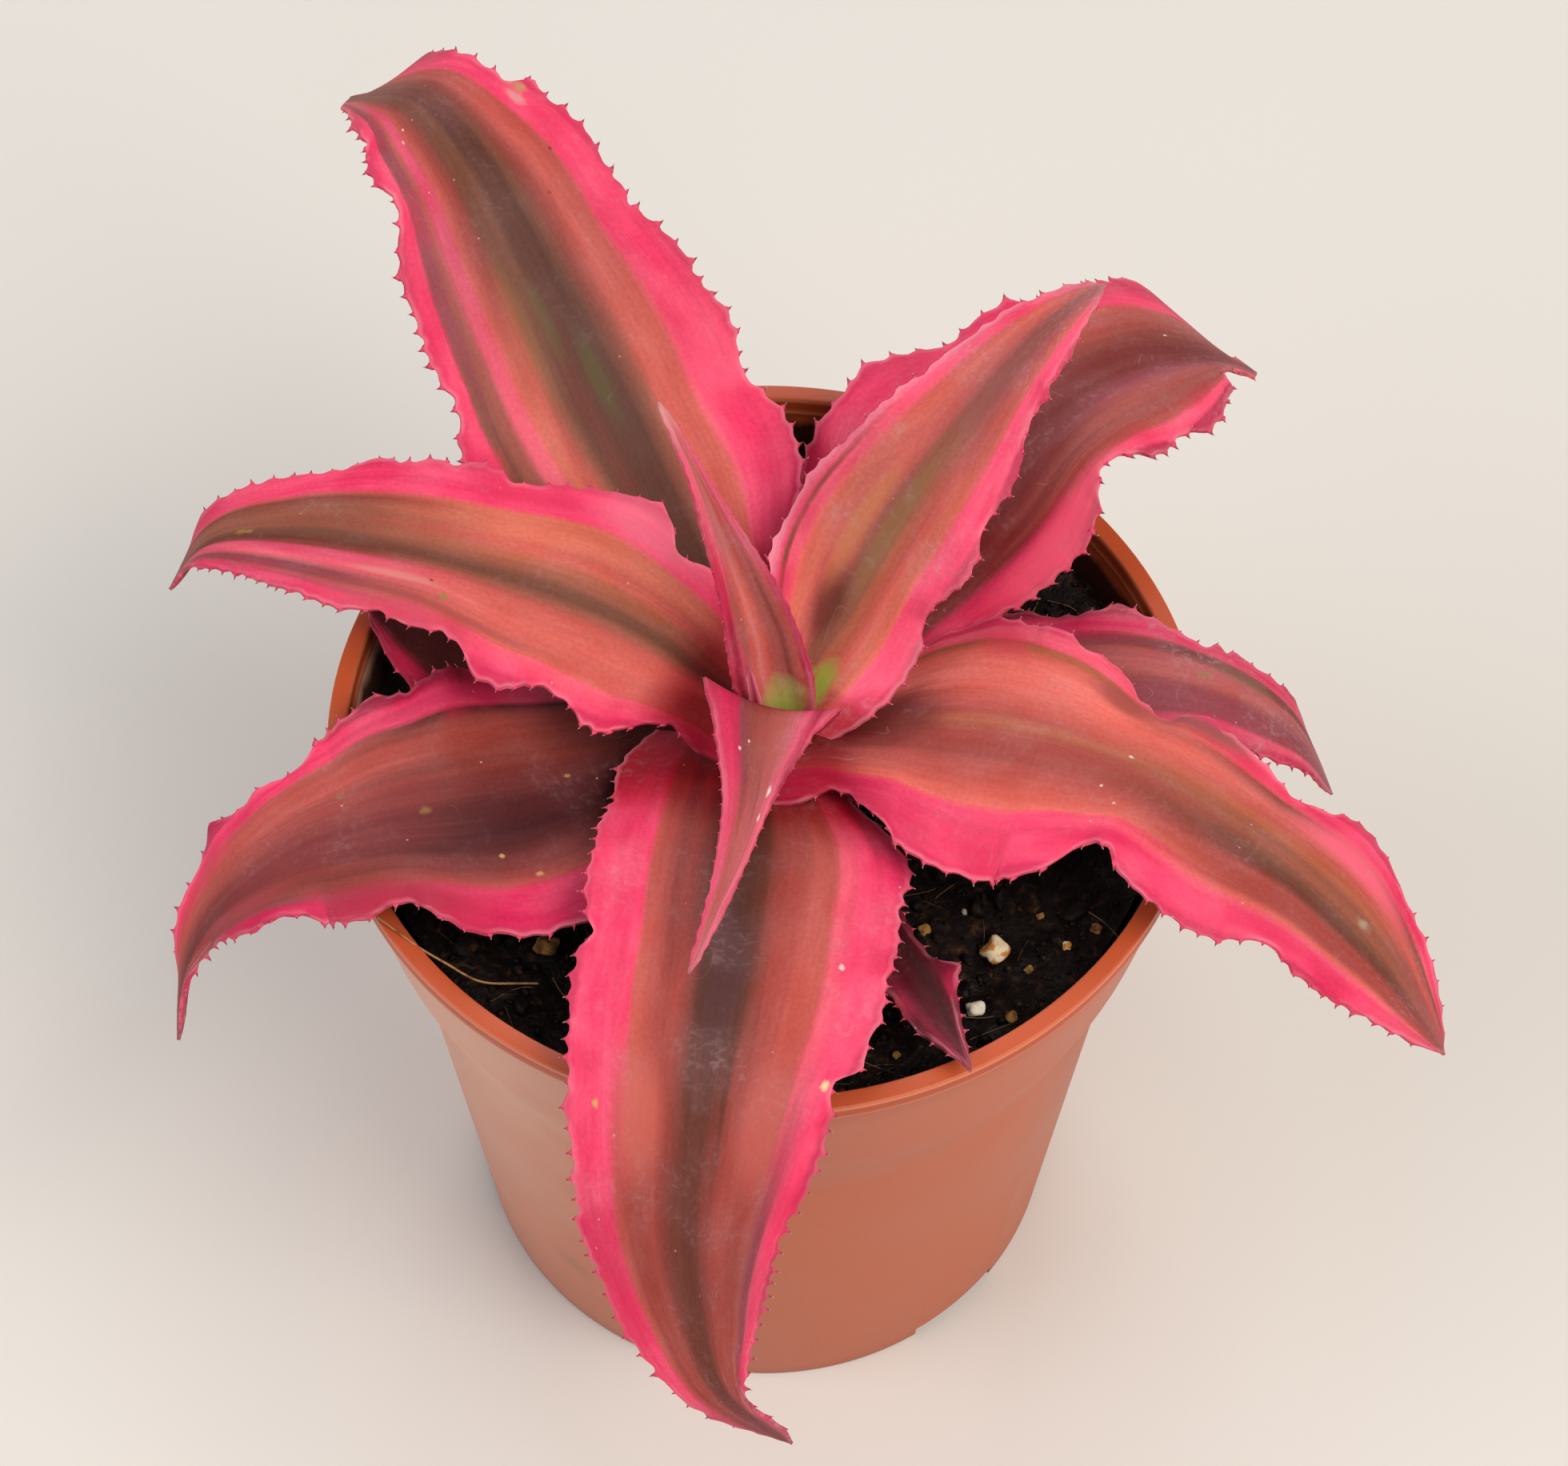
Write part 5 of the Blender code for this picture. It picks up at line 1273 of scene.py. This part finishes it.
def undersideMaterial():
    # the back of the leaf: dull rose under a felt of grey scurf in lengthwise rows
    material, add, shader = newMaterial("scurfy_leaf_back", 0.75, 0.15)
    uv = add("UVMap", uv_map="alongAcross")
    rows = add("VectorMath", {0: uv, 1: (6, 60, 0)}, operation="MULTIPLY")
    lines = add("TexNoise", {"Vector": rows, "Scale": 1, "Detail": 3})
    body = add("ValToRGB", {0: lines}, stops=[(0.3, "#74343C"), (0.55, "#9A4A56"), (0.72, "#B06A72")])
    place = add("TexCoord", out="Object")
    felt = add("TexNoise", {"Vector": place, "Scale": 1900, "Detail": 3})
    feltMask = add("MapRange", {0: felt, 1: 0.48, 2: 0.66, 3: 0.0, 4: 0.5})
    tone = add("Mix", {0: feltMask, 6: body, 7: colour("#C0A2A8")}, data_type="RGBA", out=2)
    margin = add("SeparateXYZ", {0: uv}, out=1)
    off = add("Math", {0: margin, 1: 0.5}, operation="SUBTRACT")
    edge = add("Math", {0: off}, operation="ABSOLUTE")
    pink = add("MapRange", {0: edge, 1: 0.36, 2: 0.42, 3: 0.0, 4: 0.9})
    tone = add("Mix", {0: pink, 6: tone, 7: colour("#CC3E5C")}, data_type="RGBA", out=2)
    feed(shader, "Base Color", tone)
    bump = add("Bump", {"Strength": 0.5, "Distance": 0.1 * mm, "Height": felt})
    feed(shader, "Normal", bump)
    return material


def spineMaterial():
    # horny leaf spines: pink at the root, then brown-red, and straw-pale at the point
    material, add, shader = newMaterial("horny_spine", 0.45, 0.3)
    reach = add("Attribute", attribute_name="reach", out="Fac")
    place = add("TexCoord", out="Object")
    vary = add("TexNoise", {"Vector": place, "Scale": 500, "Detail": 0})
    at = add("Math", {0: vary, 1: 0.5, 2: reach}, operation="MULTIPLY_ADD")
    tone = add("ValToRGB", {0: at}, stops=[
        (0.3, "#E84468"), (0.55, "#CC4462"), (0.78, "#983A44"), (1.0, "#8C4440"), (1.25, "#CC9484")])
    feed(shader, "Base Color", tone)
    return material


def spineTemplate():
    # one hooked spine: x towards the leaf's tip, y outwards, z up; its root is sunk in the margin
    spine = startPiece(bpy.ops.mesh.primitive_circle_add, "spine_shape", vertices=5, radius=1,
                       fill_type="NGON", rotation=(math.radians(-90), 0, 0))
    bpy.ops.object.transform_apply(location=False, rotation=True, scale=False)
    length = leafShared["spineLength"]
    # each ring: outwards, forwards, half-width along the margin, half-thickness
    rings = ((-0.4 * mm, 0, 0.55 * mm, 0.2 * mm), (0.02 * mm, 0, 0.4 * mm, 0.17 * mm),
             (0.3 * length, 0.04 * mm, 0.21 * mm, 0.12 * mm),
             (0.65 * length, 0.12 * mm, 0.11 * mm, 0.08 * mm),
             (length, 0.26 * mm, 0.02 * mm, 0.02 * mm))
    lastOut, lastForward, lastWidth, lastThick = rings[0]
    startEdit(spine, "SELECT")
    bpy.ops.transform.resize(value=(lastWidth, 1, lastThick), center_override=(0, 0, 0))
    bpy.ops.transform.translate(value=(lastForward, lastOut, 0))
    for out, forward, width, thick in rings[1:]:
        bpy.ops.mesh.extrude_region_move(
            TRANSFORM_OT_translate={"value": (forward - lastForward, out - lastOut, 0)})
        bpy.ops.transform.resize(value=(width / lastWidth, 1, thick / lastThick),
                                 center_override=(forward, out, 0))
        lastOut, lastForward, lastWidth, lastThick = out, forward, width, thick
    bpy.ops.mesh.select_all(action="SELECT")
    bpy.ops.mesh.normals_make_consistent(inside=False)
    bpy.ops.object.mode_set(mode="OBJECT")
    reach = spine.data.attributes.new("reach", "FLOAT", "POINT")  # from 0 at the margin to 1 at the point
    for k, vertex in enumerate(spine.data.vertices):
        reach.data[k].value = max(0, vertex.co.y / length)
    return spine


def makeBlade(name, leaf, blade):
    # a flat grid is bent into the leaf, then given its thickness
    columns = leafShared["columns"]
    rows = max(12, round((blade.length - blade.start) / leafShared["rowSpacing"]))
    piece = startPiece(bpy.ops.mesh.primitive_grid_add, name + "_blade", x_subdivisions=rows,
                       y_subdivisions=columns, size=1, calc_uvs=True)
    mesh = piece.data
    flat = np.empty(len(mesh.vertices) * 3)
    mesh.vertices.foreach_get("co", flat)
    flat = flat.reshape(-1, 3)
    along = blade.start + (flat[:, 0] + 0.5) * (blade.length - blade.start)
    # columns stand closer together towards the margins
    share = 0.45 * np.sin(flat[:, 1] * math.pi) + 0.55 * flat[:, 1] * 2
    mesh.vertices.foreach_set("co", blade.bend(along, share).ravel())
    corner = np.empty(len(mesh.loops), np.int32)
    mesh.loops.foreach_get("vertex_index", corner)
    layer = mesh.uv_layers[0]
    layer.name = "alongAcross"
    band = blade.band(along, share)
    pairs = np.stack([along[corner] / blade.length, band[corner]], axis=1)
    layer.data.foreach_set("uv", pairs.ravel())
    # millimetres in from the edge, for the painted highlight along the rim
    half = blade.sided(blade.halfWidth, along, share)
    inward = mesh.attributes.new("inward", "FLOAT", "POINT")
    inward.data.foreach_set("value", (1 - np.abs(share)) * half / mm)
    # thick flesh over the midrib, thinner at the margins and tip
    thinning = 1 - (1 - leafShared["marginThickness"]) * np.abs(share) ** 3
    thinning *= np.clip(0.45 + (blade.length - along) / (6 * mm), 0, 1)
    group = piece.vertex_groups.new(name="flesh")
    for k, weight in enumerate(thinning):
        group.add([k], float(weight), "REPLACE")
    solid = piece.modifiers.new("Flesh", "SOLIDIFY")
    solid.thickness = leafShared["thickness"]
    solid.offset = 0
    solid.vertex_group = "flesh"
    solid.material_offset = 1
    mesh.materials.append(skinMaterial(name, leaf, blade))
    mesh.materials.append(underside)
    applyAll(piece)
    bpy.ops.object.shade_smooth_by_angle(angle=math.radians(55))
    finishPiece(piece, name)


def makeSpines(name, leaf, blade, shape, draw):
    # a copy of the spine at each place on both edges, leaning a little this way and that
    copies = []
    for sign, places in blade.spines.items():
        if len(places) == 0:
            continue
        edge = np.full(len(places), float(sign))
        root = blade.bend(places, edge)
        inner = blade.bend(places, edge * 0.9)
        ahead = blade.bend(places + 0.6 * mm, edge)
        behind = blade.bend(places - 0.6 * mm, edge)
        for k in range(len(places)):
            outward = Vector(root[k] - inner[k]).normalized()
            forward = Vector(ahead[k] - behind[k])
            forward = (forward - outward * forward.dot(outward)).normalized()
            up = forward.cross(outward)
            nearTip = min(1, 0.5 + (blade.length - places[k]) / (12 * mm))
            size = draw.uniform(0.7, 1.15) * leaf["teeth"] * nearTip
            turn = Matrix((forward, outward, up)).transposed().to_4x4()
            sway = Matrix.Rotation(draw.uniform(-0.25, 0.25), 4, "Z")
            lean = sway @ Matrix.Rotation(draw.uniform(-0.3, 0.3), 4, "X")
            copies.append(copyTo(shape, Matrix.Translation(root[k]) @ turn @ lean @ Matrix.Scale(size, 4)))
    if not copies:
        return
    spines = joinAll(copies, name + "_spines")
    spines.data.materials.append(horn)
    smoothPiece(spines)
    finishPiece(spines)


underside = undersideMaterial()
horn = spineMaterial()
spineShape = spineTemplate()
for leafName, leafLook in leaves.items():
    leafDraw = random.Random(leafShared["seed"] + sum(map(ord, leafName)))
    leafBlade = Blade(leafLook, leafDraw)
    makeBlade(leafName, leafLook, leafBlade)
    makeSpines(leafName, leafLook, leafBlade, spineShape, leafDraw)
    print(leafName, "made")
removeAll([spineShape])
